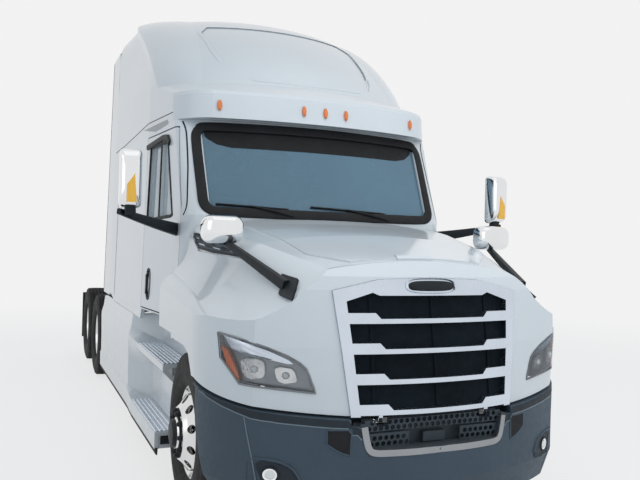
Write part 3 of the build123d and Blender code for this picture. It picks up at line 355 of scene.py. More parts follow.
def curved(points, per_span=6, closed=False):
    """A smooth line through the points."""
    pts = [Vector(p) for p in points]
    count = len(pts)
    out = []
    for i in range(count if closed else count - 1):
        around = [pts[(i + k) % count] if closed else pts[min(max(i + k, 0), count - 1)] for k in (-1, 0, 1, 2)]
        a, b, c, d = around
        for step in range(per_span):
            t = step / per_span
            out.append(0.5 * (2 * b + (c - a) * t + (2 * a - 5 * b + 4 * c - d) * t * t
                              + (3 * b - a - 3 * c + d) * t ** 3))
    return out if closed else out + [pts[-1]]


def tube_faces(rings, size, closed):
    faces = []
    last = rings if closed else rings - 1
    for r in range(last):
        a, b = r * size, (r + 1) % rings * size
        faces += [(a + k, a + (k + 1) % size, b + (k + 1) % size, b + k) for k in range(size)]
    if not closed:
        faces += [tuple(range(size)), tuple(reversed(range((rings - 1) * size, rings * size)))]
    return faces


def skins(name, parts, look, body="chassis", closed=False, capped=True, **more):
    """A piece of skins, each through rings of points with the same count; the ends are filled if capped."""
    verts, faces = [], []
    for rings in parts:
        start = len(verts)
        verts += [v for ring in rings for v in ring]
        drawn = tube_faces(len(rings), len(rings[0]), closed)
        faces += [tuple(start + k for k in face) for face in (drawn if capped or closed else drawn[:-2])]
    return add_piece(name, verts, faces, look, body, **more)


def loft(name, rings, *settings, **more):
    return skins(name, [rings], *settings, **more)


# (share of the width, share of the height) of a strip's section
SECTION = [(-0.5, -1.0), (-0.5, 0.55), (-0.36, 0.9), (-0.12, 1.0), (0.12, 1.0), (0.36, 0.9), (0.5, 0.55),
           (0.5, -1.0)]
FLAT_SECTION = [(-0.5, -1.0), (-0.5, 0.9), (-0.45, 1.0), (0.45, 1.0), (0.5, 0.9), (0.5, -1.0)]


def ribbon(name, path, width, height, look, body="chassis", closed=False, section=SECTION, **more):
    """A strip with rounded edges laid along a path of (point, normal); width may be one number or a list."""
    count = len(path)
    widths = width if isinstance(width, list) else [width] * count
    rings = []
    for i, (point, normal) in enumerate(path):
        before = path[(i - 1) % count if closed else max(i - 1, 0)][0]
        after = path[(i + 1) % count if closed else min(i + 1, count - 1)][0]
        across = (after - before).cross(normal).normalized()
        rings.append([point + across * widths[i] * a + normal * height * b for a, b in section])
    return loft(name, rings, look, body, closed, **more)


def laid(ground, points, step=0.04, closed=False, smooth=False):
    """A path of (point, normal) where the outline's points, seen in the seat's view, lie on it."""
    line = curved(points, 6, closed) if smooth else dense(points, step, closed)
    return [(p, n) for p, n in (meet(ground, *q) for q in line) if p is not None]


def raised(path, height):
    return [(p + n * height, n) for p, n in path]


def strip(name, ground, outline, step, width, height, look, body="chassis", closed=False, smooth=False,
          rise=0.0, **more):
    """A ribbon laid along an outline on a surface, rise above it."""
    path = raised(laid(ground, outline, step, closed, smooth), rise)
    return ribbon(name, path, width, height, look, body, closed, **more)


def spans(outline, rows):
    """(row, lowest, highest) of a polygon at evenly spaced rows of its second coordinate."""
    low, high = min(p[1] for p in outline), max(p[1] for p in outline)
    out = []
    for r in range(rows + 1):
        level = low + (high - low) * (0.002 + 0.996 * r / rows)
        cuts = []
        for (a, b), (c, d) in zip(outline, outline[1:] + outline[:1]):
            if (b - level) * (d - level) < 0:
                cuts.append(a + (c - a) * (level - b) / (d - b))
        out.append((level, min(cuts), max(cuts)))
    return out


def patch(name, ground, outline, look, body, lift=0.002, depth=0.004, rows=10, columns=14, **more):
    """A panel laid on a surface within an outline, lift above it and with a rim that goes down by depth."""
    grid = [meet(ground, start + (end - start) * c / columns, level)
            for level, start, end in spans(outline, rows) for c in range(columns + 1)]
    verts = [p + n * lift if p is not None else Vector() for p, n in grid]
    wide = columns + 1
    quads = [(r * wide + c, r * wide + c + 1, (r + 1) * wide + c + 1, (r + 1) * wide + c)
             for r in range(rows) for c in range(columns)]
    faces = [q for q in quads if all(grid[i][0] is not None for i in q)]
    if len(faces) == len(quads):
        rim = (list(range(wide)) + [r * wide + columns for r in range(1, rows + 1)]
               + [rows * wide + c for c in range(columns - 1, -1, -1)]
               + [r * wide for r in range(rows - 1, 0, -1)])
        first = len(verts)
        verts += [grid[i][0] + grid[i][1] * (lift - depth) for i in rim]
        size = len(rim)
        faces += [(rim[i], rim[(i + 1) % size], first + (i + 1) % size, first + i) for i in range(size)]
    used = sorted({i for face in faces for i in face})
    place = {old: new for new, old in enumerate(used)}
    verts = [verts[i] for i in used]
    faces = [tuple(place[i] for i in face) for face in faces]
    return add_piece(name, verts, faces, look, body, **more)


def rounded(width, height, radius, steps=5):
    """The points of a rounded rectangle, anticlockwise."""
    out = []
    for sx, sy, start in ((1, 1, 0), (-1, 1, 90), (-1, -1, 180), (1, -1, 270)):
        for s in range(steps + 1):
            angle = math.radians(start + 90 * s / steps)
            out.append((sx * (width / 2 - radius) + radius * math.cos(angle),
                        sy * (height / 2 - radius) + radius * math.sin(angle)))
    return out


def ellipse(width, height, count=40):
    return [(width / 2 * math.cos(math.tau * i / count), height / 2 * math.sin(math.tau * i / count))
            for i in range(count)]


def placed(ring, origin, x_dir, y_dir, share=1.0):
    return [Vector(origin) + Vector(x_dir) * a * share + Vector(y_dir) * b * share for a, b in ring]


def turned_rings(profile, origin, axis=1, steps=64):
    """Rings about an axle; the profile is (along the axle, radius) from one end to the other."""
    x, y, z = origin
    turns = [math.tau * s / steps for s in range(steps)]
    return [[(x + axis * along, y + radius * math.cos(a), z + radius * math.sin(a)) for a in turns]
            for along, radius in profile]


# ---- tyres and wheels ------------------------------------
AXLE_Z = 0.51
FRONT_AXLE_Y = behind(1.25)
DRIVE_AXLE_YS = {"front": behind(6.5), "rear": behind(7.82)}
FRONT_X = 1.03
DRIVE_XS = (0.743, 1.087)
# (across the tyre, radius) of the side from the bead out to the shoulder
TYRE_SIDE = [(0.1, 0.292), (0.118, 0.303), (0.128, 0.318), (0.131, 0.336), (0.1325, 0.34), (0.1345, 0.352),
             (0.138, 0.372), (0.1395, 0.374), (0.1415, 0.398), (0.1412, 0.42), (0.1395, 0.44), (0.14, 0.443),
             (0.1355, 0.458), (0.13, 0.474), (0.1275, 0.48), (0.125, 0.492)]
RIB_EDGES = (0.112, 0.07, 0.06, 0.03, 0.021)
GROOVE = 0.013
TREAD_RADIUS = 0.508
PITCHES = 60


def tyre_profile():
    """(across, radius, tread row) of half a tyre, from the bead to the middle of the tread."""
    a, b, c, d, e = RIB_EDGES
    low = TREAD_RADIUS - GROOVE
    return [(across, radius, 0) for across, radius in TYRE_SIDE] + [
        (a, TREAD_RADIUS - 0.003, 1), (b + 0.001, TREAD_RADIUS, 1), (b, low, 0), (c, low, 0),
        (c - 0.001, TREAD_RADIUS + 0.001, 2), (d + 0.001, TREAD_RADIUS + 0.0015, 2), (d, low, 0), (e, low, 0),
        (e - 0.001, TREAD_RADIUS + 0.0018, 3)]


def tyre_rings(x, y, lugs):
    """Rings round a tyre; lugs is how deep the tread's cross cuts are."""
    half = tyre_profile()
    rows = half + [(-a, r, t) for a, r, t in reversed(half)]
    rings = []
    for s in range(PITCHES * 4):
        angle = math.tau * s / (PITCHES * 4)
        ring = []
        for across, radius, tread in rows:
            cut = 0.0
            if tread and (s + tread - 1) % 4 == 0:
                cut = lugs if tread == 1 else 0.6 * lugs
            r = radius - cut
            ring.append((x + across, y + r * math.cos(angle), AXLE_Z + r * math.sin(angle)))
        rings.append(ring)
    return rings


def tyre(name, xs, y, body, node, lugs):
    skins(name, [tyre_rings(x, y, lugs) for x in xs], "tyre_rubber", body, True, angle=30, replaced=(node,))


def nut_profile(radius, length):
    shares = ((0, 1), (0.45, 1), (0.6, 0.82), (0.92, 0.62), (1, 0.3))
    return [(along * length, share * radius) for along, share in shares] + [(length, 0.001)]


def around(name, circle, profile, origin, look, body, axis, steps=12):
    """The same small turned piece repeated on a circle about an axle."""
    x, y, z = origin
    turns = [math.tau * i / STUDS for i in range(STUDS)]
    skins(name, [turned_rings(profile, (x, y + circle * math.cos(a), z + circle * math.sin(a)), axis, steps)
                 for a in turns], look, body)


FRONT_FACE_X = FRONT_X + 0.172 - 0.001
STUDS = 10
STUD_CIRCLE = 0.137
DRIVE_FACE_X, DRIVE_STUD_CIRCLE = 0.936, 0.131
HUB_X = 1.202
# (outwards, radius) of the cover that closes over the front hub
HUB = [(-0.002, 0.112), (0.008, 0.111), (0.012, 0.093), (0.03, 0.09), (0.046, 0.077), (0.049, 0.06),
       (0.049, 0.001)]


def wheels(name, side):
    """Tyres with treads, lug covers and a hub cover in front, and nuts on the drive wheels."""
    body = f"front_wheel_{name}"
    tyre(f"front_tyre_detail_{name}", (side * FRONT_X,), FRONT_AXLE_Y, body, f"front_tyre_{name}", 0.002)
    face, hub = ((side * x, FRONT_AXLE_Y, AXLE_Z) for x in (FRONT_FACE_X, HUB_X))
    around(f"front_lug_covers_{name}", STUD_CIRCLE, nut_profile(0.02, 0.032), face, "black_plastic", body, side)
    loft(f"front_hub_cover_{name}", turned_rings(HUB, hub, side), "black_plastic", body)
    for row, y in DRIVE_AXLE_YS.items():
        body = f"drive_wheels_{row}_{name}"
        xs = tuple(side * x for x in DRIVE_XS)
        tyre(f"{body}_tyres_detail", xs, y, body, f"drive_tyres_{row}_{name}", 0.009)
        around(f"{body}_nuts", DRIVE_STUD_CIRCLE, nut_profile(0.0165, 0.034), (side * DRIVE_FACE_X, y, AXLE_Z),
               "bright_trim", body, side, 6)


# ---- lamps -----------------------------------------------
LAMP = [(1.148, 1.24), (1.046, 1.215), (0.94, 1.18), (0.836, 1.136), (0.775, 1.1), (0.742, 1.066), (0.714, 1.0),
        (0.694, 0.936), (1.062, 0.972), (1.138, 1.1)]
LAMP_AMBER = [(1.139, 1.17), (1.116, 1.155), (1.086, 1.078), (1.06, 0.998), (1.068, 0.986), (1.11, 1.054)]
LAMP_BLADE = [(1.134, 1.228), (1.096, 1.146), (0.985, 1.122), (0.835, 1.09), (0.806, 1.09), (0.836, 1.114),
              (0.94, 1.162), (1.046, 1.199)]
# (share of the outline, height) of the clear ball in the middle of a beam
BEAM_DOME = ((1.0, -0.012), (0.93, -0.008), (0.7, -0.004), (0.4, -0.0025), (0.02, -0.002))
# the outlines of the two square beams
LAMP_BEAMS = [[(1.076, 1.116), (0.95, 1.116), (0.944, 1.004), (1.046, 0.996)],
              [(0.912, 1.078), (0.806, 1.072), (0.78, 0.984), (0.886, 0.982)]]
BEAM_BALL = 0.04


def middle_of(outline):
    return [sum(p[k] for p in outline) / len(outline) for k in (0, 1)]


def inner(outline, share):
    """An outline drawn in towards its middle."""
    cx, cz = middle_of(outline)
    return [(cx + (x - cx) * share, cz + (z - cz) * share) for x, z in outline]


def softened(outline, times=2):
    """An outline with its corners cut down to curves."""
    for _ in range(times):
        outline = [(a[0] + (b[0] - a[0]) * t, a[1] + (b[1] - a[1]) * t)
                   for a, b in zip(outline, outline[1:] + outline[:1]) for t in (0.2, 0.8)]
    return outline


def dome(name, ground, outline, heights, look, body="chassis", capped=True, **more):
    """A low dome over an outline on a surface; heights is [(share of the outline, height)]."""
    normal = meet(ground, *middle_of(outline))[1]
    base = [meet(ground, *p)[0] for p in outline]
    middle = sum(base, Vector()) / len(base)
    rings = [[middle + (p - middle) * share + normal * height for p in base] for share, height in heights]
    return loft(name, rings, look, body, angle=50, capped=capped, **more)


def headlamp(name, side):
    """A grey bowl with a blade, an amber strip and two beams behind a clear cover."""
    ground = seat("headlamps", "hood_shell")

    def panel(kind, outline, share, look, *sizes, **more):
        patch(f"headlamp_{kind}", ground, flipped(side, inner(outline, share)), look, "hood", *sizes, **more)

    panel(f"cover_{name}", LAMP, 0.995, "lamp_lens", 0.001, 0.003, 14, 22,
          replaced=left_only(side, "headlamps"))
    panel(f"bowl_{name}", LAMP, 0.99, "bowl", -0.03, 0.004, 14, 22)
    strip(f"headlamp_rim_{name}", ground, flipped(side, inner(LAMP, 0.985)), 0.03, 0.01, 0.0025, "bowl", "hood",
          closed=True)
    panel(f"amber_{name}", LAMP_AMBER, 1.0, "amber_lens", -0.006, 0.022, 8, 4)
    panel(f"blade_{name}", LAMP_BLADE, 1.0, "bright_trim", -0.01, 0.016, 6, 14)
    for number, beam in enumerate(LAMP_BEAMS):
        tag = f"{name}_{number + 1}"
        beam = softened(beam)
        panel(f"frame_{tag}", beam, 1.0, "satin_trim", -0.016, 0.012, 12, 10)
        panel(f"reflector_{tag}", beam, 0.93, "crystal", -0.012, 0.004, 12, 10)
        x, z = middle_of(beam)
        ball = [(side * (x + a), z + b) for a, b in ellipse(BEAM_BALL, BEAM_BALL, 28)]
        dome(f"headlamp_beam_{tag}", ground, ball, BEAM_DOME, "beam", "hood")


# ---- front trim ------------------------------------------
def oval(x, z, width, height, power=2.6, count=44):
    """A long oval with fuller ends than an ellipse."""
    out = []
    for i in range(count):
        c, s = math.cos(math.tau * i / count), math.sin(math.tau * i / count)
        out.append((x + width / 2 * math.copysign(abs(c) ** (2 / power), c),
                    z + height / 2 * math.copysign(abs(s) ** (2 / power), s)))
    return out


EMBLEM_FIELD = ((1.0, -0.006), (1.0, 0.006), (0.96, 0.01), (0.6, 0.013), (0.02, 0.014))
EMBLEM_RIM = ((1.0, -0.006), (1.0, 0.008), (0.975, 0.012), (0.945, 0.012), (0.925, 0.006))


def emblem():
    """The bare oval at the top of the grille's surround."""
    ground = seat("grille", "hood_shell")
    field, rim = (oval(-0.012, 1.515, *size, 3.2) for size in ((0.29, 0.056), (0.326, 0.086)))
    dome("emblem_field", ground, field, EMBLEM_FIELD, "black_plastic", "hood")
    dome("emblem_rim", ground, rim, EMBLEM_RIM, "bright_trim", "hood", capped=False)


SCREEN_HALF = [(0.0, 1.95), (0.45, 1.951), (0.82, 1.955), (0.905, 1.972), (0.94, 2.02), (0.946, 2.12),
               (0.952, 2.3), (0.956, 2.46), (0.952, 2.545), (0.925, 2.59), (0.87, 2.612), (0.45, 2.616)]
SCREEN = SCREEN_HALF + [(0.0, 2.618)] + flipped(-1, SCREEN_HALF[:0:-1])
BAND_HALF = [(0.7, 2.452), (0.8, 2.47), (0.89, 2.53), (0.89, 2.588)]
# side, the blade's two ends and the arm's foot
WIPERS = (("right", (-0.33, 1.985), (-0.9, 2.01), (-0.3, 1.94)),
          ("left", (0.48, 1.985), (-0.15, 2.012), (0.5, 1.94)))


def windscreen_trim():
    """The rubber round the screen, the dark header band on its top, and the two wipers."""
    shell, glass = seat("cab_shell", "windshield"), seat("windshield")
    strip("screen_gasket", shell, SCREEN, 0.06, 0.074, 0.01, "seal", closed=True, smooth=True)
    band = flipped(-1, BAND_HALF[::-1]) + BAND_HALF
    patch("screen_header_band", glass, band, "seal", "chassis", 0.0015, 0.002, 6, 40)
    facing = Vector((0, -1, 0.4)).normalized()
    for name, start, end, rest in WIPERS:
        line = raised(laid(glass, [start, end], 0.05), 0.01)
        ribbon(f"wiper_blade_{name}", line, 0.013, 0.01, "seal")
        middle, foot = line[len(line) // 2][0], meet(shell, *rest)[0]
        arm = [foot + Vector((0, -0.012, 0)), foot.lerp(middle, 0.45) + Vector((0, -0.03, 0.006)),
               middle + Vector((0, -0.012, 0.003))]
        ribbon(f"wiper_arm_{name}", [(p, facing) for p in arm], [0.022, 0.018, 0.012], 0.01, "seal")


SCOOP = [(-0.14, behind(0.315)), (0.1, behind(0.315)), (0.09, behind(0.385)), (-0.13, behind(0.385))]
VENT = stations([(0.905, 1.6405), (1.6, 1.6735), (1.862, 1.812), (1.0, 1.6875)])
VENT_SLATS = (0.25, 0.5, 0.75)      # how far up the vent each slat lies
SLAT_ENDS = (0.05, 0.93)            # where along the vent the slats begin and end


def between(start, end, share):
    return [a + (b - a) * share for a, b in zip(start, end)]


def hood_scoop():
    ground = seat("hood_shell", "grille", view="top")
    patch("hood_scoop", ground, SCOOP, "white_paint", "hood", 0.01, 0.016, 6, 10)


def hood_vent(name, _):
    """A vent panel with its slats."""
    ground = seat("hood_shell", view=name)
    patch(f"hood_vent_{name}", ground, VENT, "black_plastic", "hood", 0.007, 0.01, 8, 30)
    for number, share in enumerate(VENT_SLATS):
        start, end = between(VENT[0], VENT[3], share), between(VENT[1], VENT[2], share)
        strip(f"hood_vent_slat_{name}_{number + 1}", ground, [between(start, end, t) for t in SLAT_ENDS], 0.05,
              0.012, 0.003, "bumper_plastic", "hood", rise=0.009)


WINDOW = stations([(2.18, 1.925), (2.386, 2.512), (2.904, 2.522), (2.934, 1.9)])
WINDOW_BAR = stations([(2.556, 1.925), (2.556, 2.515)])
RAIN_GUARD = stations([(2.325, 2.492), (2.39, 2.545), (2.52, 2.556), (2.998, 2.524)])
HANDLE_CUP = ((1.0, -0.004), (1.0, 0.01), (0.9, 0.0125), (0.6, 0.013), (0.02, 0.013))
HANDLE_GRIP = stations([(2.812, 1.29), (2.806, 1.37), (2.812, 1.45)])


def door_trim(name, _):
    """A window frame with its divider bar, a rain guard and a handle."""
    body = f"door_{name}"
    door = seat(body, view=name)
    cup, rim = (oval(behind(2.8), 1.37, *size, 3.0, 32) for size in ((0.098, 0.228), (0.122, 0.252)))
    strip(f"window_frame_{name}", door, WINDOW, 0.05, 0.026, 0.006, "seal", body, closed=True)
    strip(f"window_bar_{name}", door, WINDOW_BAR, 0.08, 0.03, 0.006, "seal", body, rise=0.002)
    strip(f"rain_guard_{name}", door, RAIN_GUARD, 0.05, 0.046, 0.018, "black_plastic", body)
    strip(f"handle_rim_{name}", door, rim, 1, 0.014, 0.003, "seal", body, closed=True)
    dome(f"handle_cup_{name}", door, cup, HANDLE_CUP, "seal", body)
    strip(f"handle_grip_{name}", door, HANDLE_GRIP, 0.02, 0.036, 0.008, "black_plastic", body, rise=0.016)


# ---- mirrors ---------------------------------------------
def bar_between(name, start, end, wide, tall, body, bow=(0, 0, 0), steps=10):
    """A rounded black bar whose width and height run from their first value to their last."""
    start, end = Vector(start), Vector(end)
    along = (end - start).normalized()
    across = along.cross(Vector((0, 0, 1))).normalized()
    up = across.cross(along)
    rings = []
    for i in range(steps + 1):
        t = i / steps
        middle = start.lerp(end, t) + Vector(bow) * math.sin(math.pi * t)
        w, h = wide[0] + (wide[1] - wide[0]) * t, tall[0] + (tall[1] - tall[0]) * t
        rings.append(placed(rounded(w, h, 0.28 * min(w, h)), middle, across, up))
    loft(name, rings, "black_plastic", body)


# (share of the outline, share of the depth forwards) of a domed housing with an open back, and of its glass
MIRROR_SHELL = ((0.05, 1.0), (0.35, 0.985), (0.6, 0.94), (0.78, 0.85), (0.9, 0.7), (0.965, 0.48),
                (0.995, 0.22), (1.0, 0.06), (0.985, 0.0), (0.94, 0.0), (0.93, 0.05), (0.93, 0.1))
MIRROR_GLASS = ((0.05, 0.05), (0.5, 0.055), (0.925, 0.07), (0.925, 0.09))
# width, height, depth and corner radius
DOOR_MIRROR = (0.148, 0.398, 0.146, 0.03)
HOOD_MIRROR = (0.262, 0.178, 0.142, 0.062)
DOOR_LAMP_X, DOOR_POST_X = 1.495, 1.478
# (outwards, station, height) of the lamp's corners
DOOR_LAMP = ((-0.045, 1.556, 1.985), (0.02, 1.562, 1.985), (0.02, 1.562, 2.1), (-0.03, 1.556, 2.175))
BRACKET = [(0.985, 1.722), (1.05, 1.738), (1.07, 1.8), (1.052, 1.85)]
MIRROR_FOOT = stations([(0.478, 1.556), (0.345, 1.536), (0.245, 1.428), (0.372, 1.444)])


def mirror_head(name, middle, size, turn, body, replaced):
    """A mirror's housing and glass, turned about the upright."""
    width, height, depth, radius = size
    x_dir = Vector((math.cos(turn), math.sin(turn), 0))
    back = Vector((-math.sin(turn), math.cos(turn), 0))
    for part, shape, old in (("shell", MIRROR_SHELL, replaced), ("glass", MIRROR_GLASS, ())):
        rings = [placed(rounded(width, height, radius, 6), Vector(middle) - back * depth * forward, x_dir,
                        (0, 0, 1), share) for share, forward in shape]
        loft(name.format(part), rings, "mirror_shell", body, angle=60, replaced=old)


def door_mirror(name, side):
    """A main mirror: a bright housing with a yellow lamp, on a long black arm."""
    body = f"door_{name}"
    mirror_head(f"door_mirror_{{}}_{name}", spot(side, 1.475, 1.703, 2.15), DOOR_MIRROR,
                side * math.radians(8), body, (f"door_mirror_{name}",))
    lamp = [Vector(spot(side, DOOR_LAMP_X + x, u, z)) for x, u, z in DOOR_LAMP]
    rings = [[p + Vector((0, dy, 0)) for p in lamp] for dy in (0.01, -0.002)]
    loft(f"door_mirror_lamp_{name}", rings, "yellow_lens", body)
    bar_between(f"door_mirror_arm_{name}", spot(side, 1.045, 2.085, 1.812), spot(side, 1.55, 1.662, 1.925),
                (0.062, 0.034), (0.098, 0.04), body, (0, 0, -0.006))
    bar_between(f"door_mirror_post_{name}", spot(side, DOOR_POST_X, 1.662, 1.905),
                spot(side, DOOR_POST_X, 1.652, 1.968), (0.075, 0.07), (0.07, 0.062), body)


def hood_mirror(name, side):
    """A convex mirror over a fender: a bright domed head, a bracket, a long arm and its base plate."""
    mirror_head(f"hood_mirror_{{}}_{name}", spot(side, 1.005, 1.062, 1.815), HOOD_MIRROR, 0.0, "hood",
                left_only(side, "hood_mirrors"))
    bar_between(f"hood_mirror_arm_{name}", spot(side, 0.806, 0.372, 1.503), spot(side, 0.994, 1.045, 1.748),
                (0.046, 0.028), (0.064, 0.04), "hood")
    rings = [[spot(side, x, u, z) for u, z in BRACKET] for x in (0.978, 1.006)]
    loft(f"hood_mirror_bracket_{name}", rings, "black_plastic", "hood")
    ground = seat("hood_shell", view=name)
    patch(f"hood_mirror_base_{name}", ground, MIRROR_FOOT, "black_plastic", "hood", 0.016, 0.018, 6, 6)


# ---- small lamps -----------------------------------------
MARKER_XS, MARKER_Z = (0, 0.176, -0.176, 0.81, -0.81), 2.76
MARKER_DOME = ((1.0, -0.004), (1.0, 0.008), (0.93, 0.014), (0.7, 0.019), (0.35, 0.0215), (0.02, 0.022))
FOG_X, FOG_Z = 0.904, 0.5         # middle of the opening the lamp stands in
LAMP_X, LAMP_Z = 0.908, 0.498
FOG_CAP = ((1.0, -0.002), (1.0, 0.0012), (0.9, 0.0012), (0.02, 0.0012))
FOG_POCKET = [(0.992, 0.58), (0.864, 0.562), (0.812, 0.532), (0.78, 0.485), (0.776, 0.44), (0.935, 0.425)]
FOG_BROW = [(0.996, 0.586), (0.92, 0.582), (0.864, 0.57), (0.806, 0.538), (0.768, 0.48)]
# part, width, points, look and (share, height) of its dome
FOG_PARTS = (
    ("bezel", 0.086, 28, "bumper_band", ((1, 0.0), (1, 0.01), (0.9, 0.011), (0.84, 0.004), (0.02, 0.003))),
    ("reflector", 0.07, 28, "mirror_shell", ((1, 0.003), (0.98, 0.009), (0.86, 0.007), (0.02, 0.0055))),
    ("beam", 0.052, 24, "beam", ((1, 0.004), (0.9, 0.009), (0.5, 0.012), (0.02, 0.0125))))
TAIL_X, TAIL_Y, TAIL_Z = 0.24, 4.16, 0.87
TAIL_LENS_DOME = ((1, 0.0), (1, 0.028), (0.9, 0.033), (0.5, 0.037), (0.05, 0.038))
TAIL_PITCH = 0.078


def marker_lamps():
    roof = seat("roof_cap")
    shape = ellipse(0.034, 0.08, 24)
    for x in MARKER_XS:
        tag = f"{round(x * 1000)}".replace("-", "r")
        dome(f"marker_lens_{tag}", roof, [(x + a, MARKER_Z + b) for a, b in shape], MARKER_DOME, "amber_lens",
             replaced=("lamps",) if x == 0 else ())
        foot = [(x + a * 1.25, MARKER_Z + b * 1.15) for a, b in shape]
        strip(f"marker_foot_{tag}", roof, foot, 1, 0.008, 0.004, "white_paint", closed=True)


def fog_lamp(name, side):
    """A cap over the bumper's opening, with the slanted pocket, its brow and the round lamp laid on it."""
    panel = [(side * FOG_X + a, FOG_Z + b) for a, b in rounded(0.236, 0.136, 0.006, 3)]
    cap = dome(f"fog_panel_{name}", seat("lamps", "bumper"), panel, FOG_CAP, "bumper_plastic")
    ground = seat("bumper", pieces=(cap,))
    pocket = flipped(side, softened(FOG_POCKET))
    patch(f"fog_pocket_{name}", ground, pocket, "bumper_band", "chassis", 0.003, 0.003, 14, 20)
    strip(f"fog_brow_{name}", ground, flipped(side, FOG_BROW), 0.02, 0.012, 0.009, "bumper_plastic",
          smooth=True)
    for part, size, count, look, shape in FOG_PARTS:
        ring = [(side * LAMP_X + a, LAMP_Z + b) for a, b in ellipse(size, size, count)]
        dome(f"fog_{part}_{name}", ground, ring, shape, look)


def tail_lamp(name, side):
    """Three round lenses on a plain housing."""
    def ring(outline, dx, dy):
        return placed(outline, (side * TAIL_X + dx, TAIL_Y + dy, TAIL_Z), (1, 0, 0), (0, 0, 1))

    for number, dx in enumerate((-TAIL_PITCH, 0.0, TAIL_PITCH)):
        rings = [ring(ellipse(0.066 * share, 0.1 * share, 20), dx, dy) for share, dy in TAIL_LENS_DOME]
        loft(f"tail_lens_{name}_{number + 1}", rings, "tail_lens", angle=50)
    housing = rounded(0.258, 0.118, 0.02)
    loft(f"tail_housing_{name}", [ring(housing, 0.0, dy) for dy in (-0.028, 0.01)], "black_plastic")


def bumper_lamps(name, side):
    fog_lamp(name, side)
    tail_lamp(name, side)


# ---- bumper, fairings and cab trim -----------------------
TOW = [(0.516, 0.748), (0.642, 0.748), (0.642, 0.672), (0.604, 0.644), (0.564, 0.622), (0.521, 0.61)]
TOW_DOME = ((1.0, -0.004), (1.0, 0.0025), (0.9, 0.003), (0.02, 0.0035))
BUMPER_SEAM = [(1.036, 0.8), (1.02, 0.7), (0.994, 0.56), (0.955, 0.33)]
TRIM = [(0.0, 0.618), (0.15, 0.618), (0.3, 0.618), (0.385, 0.621), (0.42, 0.64), (0.437, 0.69),
        (0.45, 0.762)]
TRIM_FOREMOST = 0.00603 - HALF_LENGTH    # keeps the trim's 6 mm inside the tractor's length
LIP_INNER, LIP_OUTER, LIP_COUNT = 0.462, 1.205, 30
LIP_DROP, LIP_END_DROP = 0.045, 0.014
LIP_PROBE_Z = 0.59                 # between the tow and fog lamp openings
LUG_X = 0.343
LUG = ((-0.014, 0.748), (0.014, 0.748), (0.014, 0.798), (-0.014, 0.798))


def lip_paths(ground, side):
    """Paths of (point, normal) along the bumper's top edge and its lip, which come close at the corner."""
    edge, lip = [], []
    for i in range(LIP_COUNT + 1):
        x = LIP_INNER + (LIP_OUTER - LIP_INNER) * i / LIP_COUNT
        upright = meet(ground, side * x, LIP_PROBE_Z)[0]

        def on_upright(z):
            place = meet(ground, side * x, z)[0]
            return place is not None and abs(place.y - upright.y) < 0.004

        top = next(z for z in (0.96 - 0.002 * step for step in range(130)) if on_upright(z))
        drop = LIP_DROP + (LIP_END_DROP - LIP_DROP) * max(0.0, (x - 1.0) / (LIP_OUTER - 1.0))
        edge.append(meet(ground, side * x, top - 0.001))
        lip.append(meet(ground, side * x, top - drop))
    return edge, lip


def sheet(name, top, bottom, lift, look):
    """A thin strip laid between two paths of (point, normal) with the same count."""
    rows = [[p + n * lift for p, n in path] for path in (top, bottom)]
    count = len(top)
    faces = [(i, i + 1, count + i + 1, count + i) for i in range(count - 1)]
    add_piece(name, rows[0] + rows[1], faces, look)


def bumper_trim(name, side):
    """A tow opening's dark pocket, the corner seam, half of the silver U, the hood's lug and the lip line."""
    ground = seat("bumper")
    dome(f"tow_pocket_{name}", ground, flipped(side, TOW), TOW_DOME, "seal")
    strip(f"tow_lip_{name}", ground, flipped(side, TOW + TOW[:1]), 0.02, 0.01, 0.005, "bumper_plastic")
    strip(f"bumper_seam_{name}", ground, flipped(side, BUMPER_SEAM), 0.04, 0.007, 0.0035, "bumper_edge",
          smooth=True)
    path = [(Vector((p.x, max(p.y, TRIM_FOREMOST), p.z)), n)
            for p, n in laid(seat("bumper_grille"), flipped(side, TRIM), 0.03, False, True)]
    ribbon(f"bumper_trim_{name}", path, 0.036, 0.006, "satin_trim", section=FLAT_SECTION)
    lug = [(side * (LUG_X + a), z) for a, z in LUG]
    patch(f"hood_lug_front_{name}", seat("grille"), lug, "seal", "hood", 0.0012, 0.002, 10, 8)
    edge, line = lip_paths(ground, side)
    sheet(f"bumper_band_{name}", edge, line, 0.0015, "bumper_band")
    ribbon(f"bumper_lip_{name}", line, 0.007, 0.003, "bumper_edge")


STEPS = (("upper", 0.992, 1.198, 0.85), ("lower", 1.082, 1.243, 0.37))
FAIRING_FRONT, FAIRING_TURN = 1.842, 3.05
TREAD_ENDS = (FAIRING_FRONT + 0.03, FAIRING_TURN - 0.03)
# (share of a rib's width, height above the step) of one rib of a tread
TREAD_RIB = ((0.06, 0.0015), (0.18, 0.006), (0.68, 0.006), (0.8, 0.0015))
# (inwards from the step's edge, height above the step)
TREAD_NOSE = ((-0.006, -0.022), (0.0015, -0.02), (0.0015, -0.002), (-0.006, 0.002))
RIB_PITCH = 0.03
FAIRING_FOOT_Z = 0.262
# (station, x) of the fairing's foot, and the skirt's section about that
SKIRT = ((FAIRING_FRONT, 1.232), (2.4, 1.232), (FAIRING_TURN, 1.232), (3.4, 1.221), (4.5, 1.221),
         (5.7, 1.221))
SKIRT_SECTION = ((-0.012, 0), (-0.01, -0.048), (-0.004, -0.052), (0.003, -0.046), (0.01, 0))
# (x, station)
FLANGE = ((0.956, 1.8405), (0.956, 1.834), (1.0, 1.832), (1.004, 1.8405))
STEP_NOSE = ((1.01, 1.845), (1.01, 1.838), (1.205, 1.838), (1.205, 1.845))
LEDGE = (3.034, 3.4, 4.5, 4.9)     # its stations
LEDGE_X, LEDGE_TOP = 1.19, 1.15


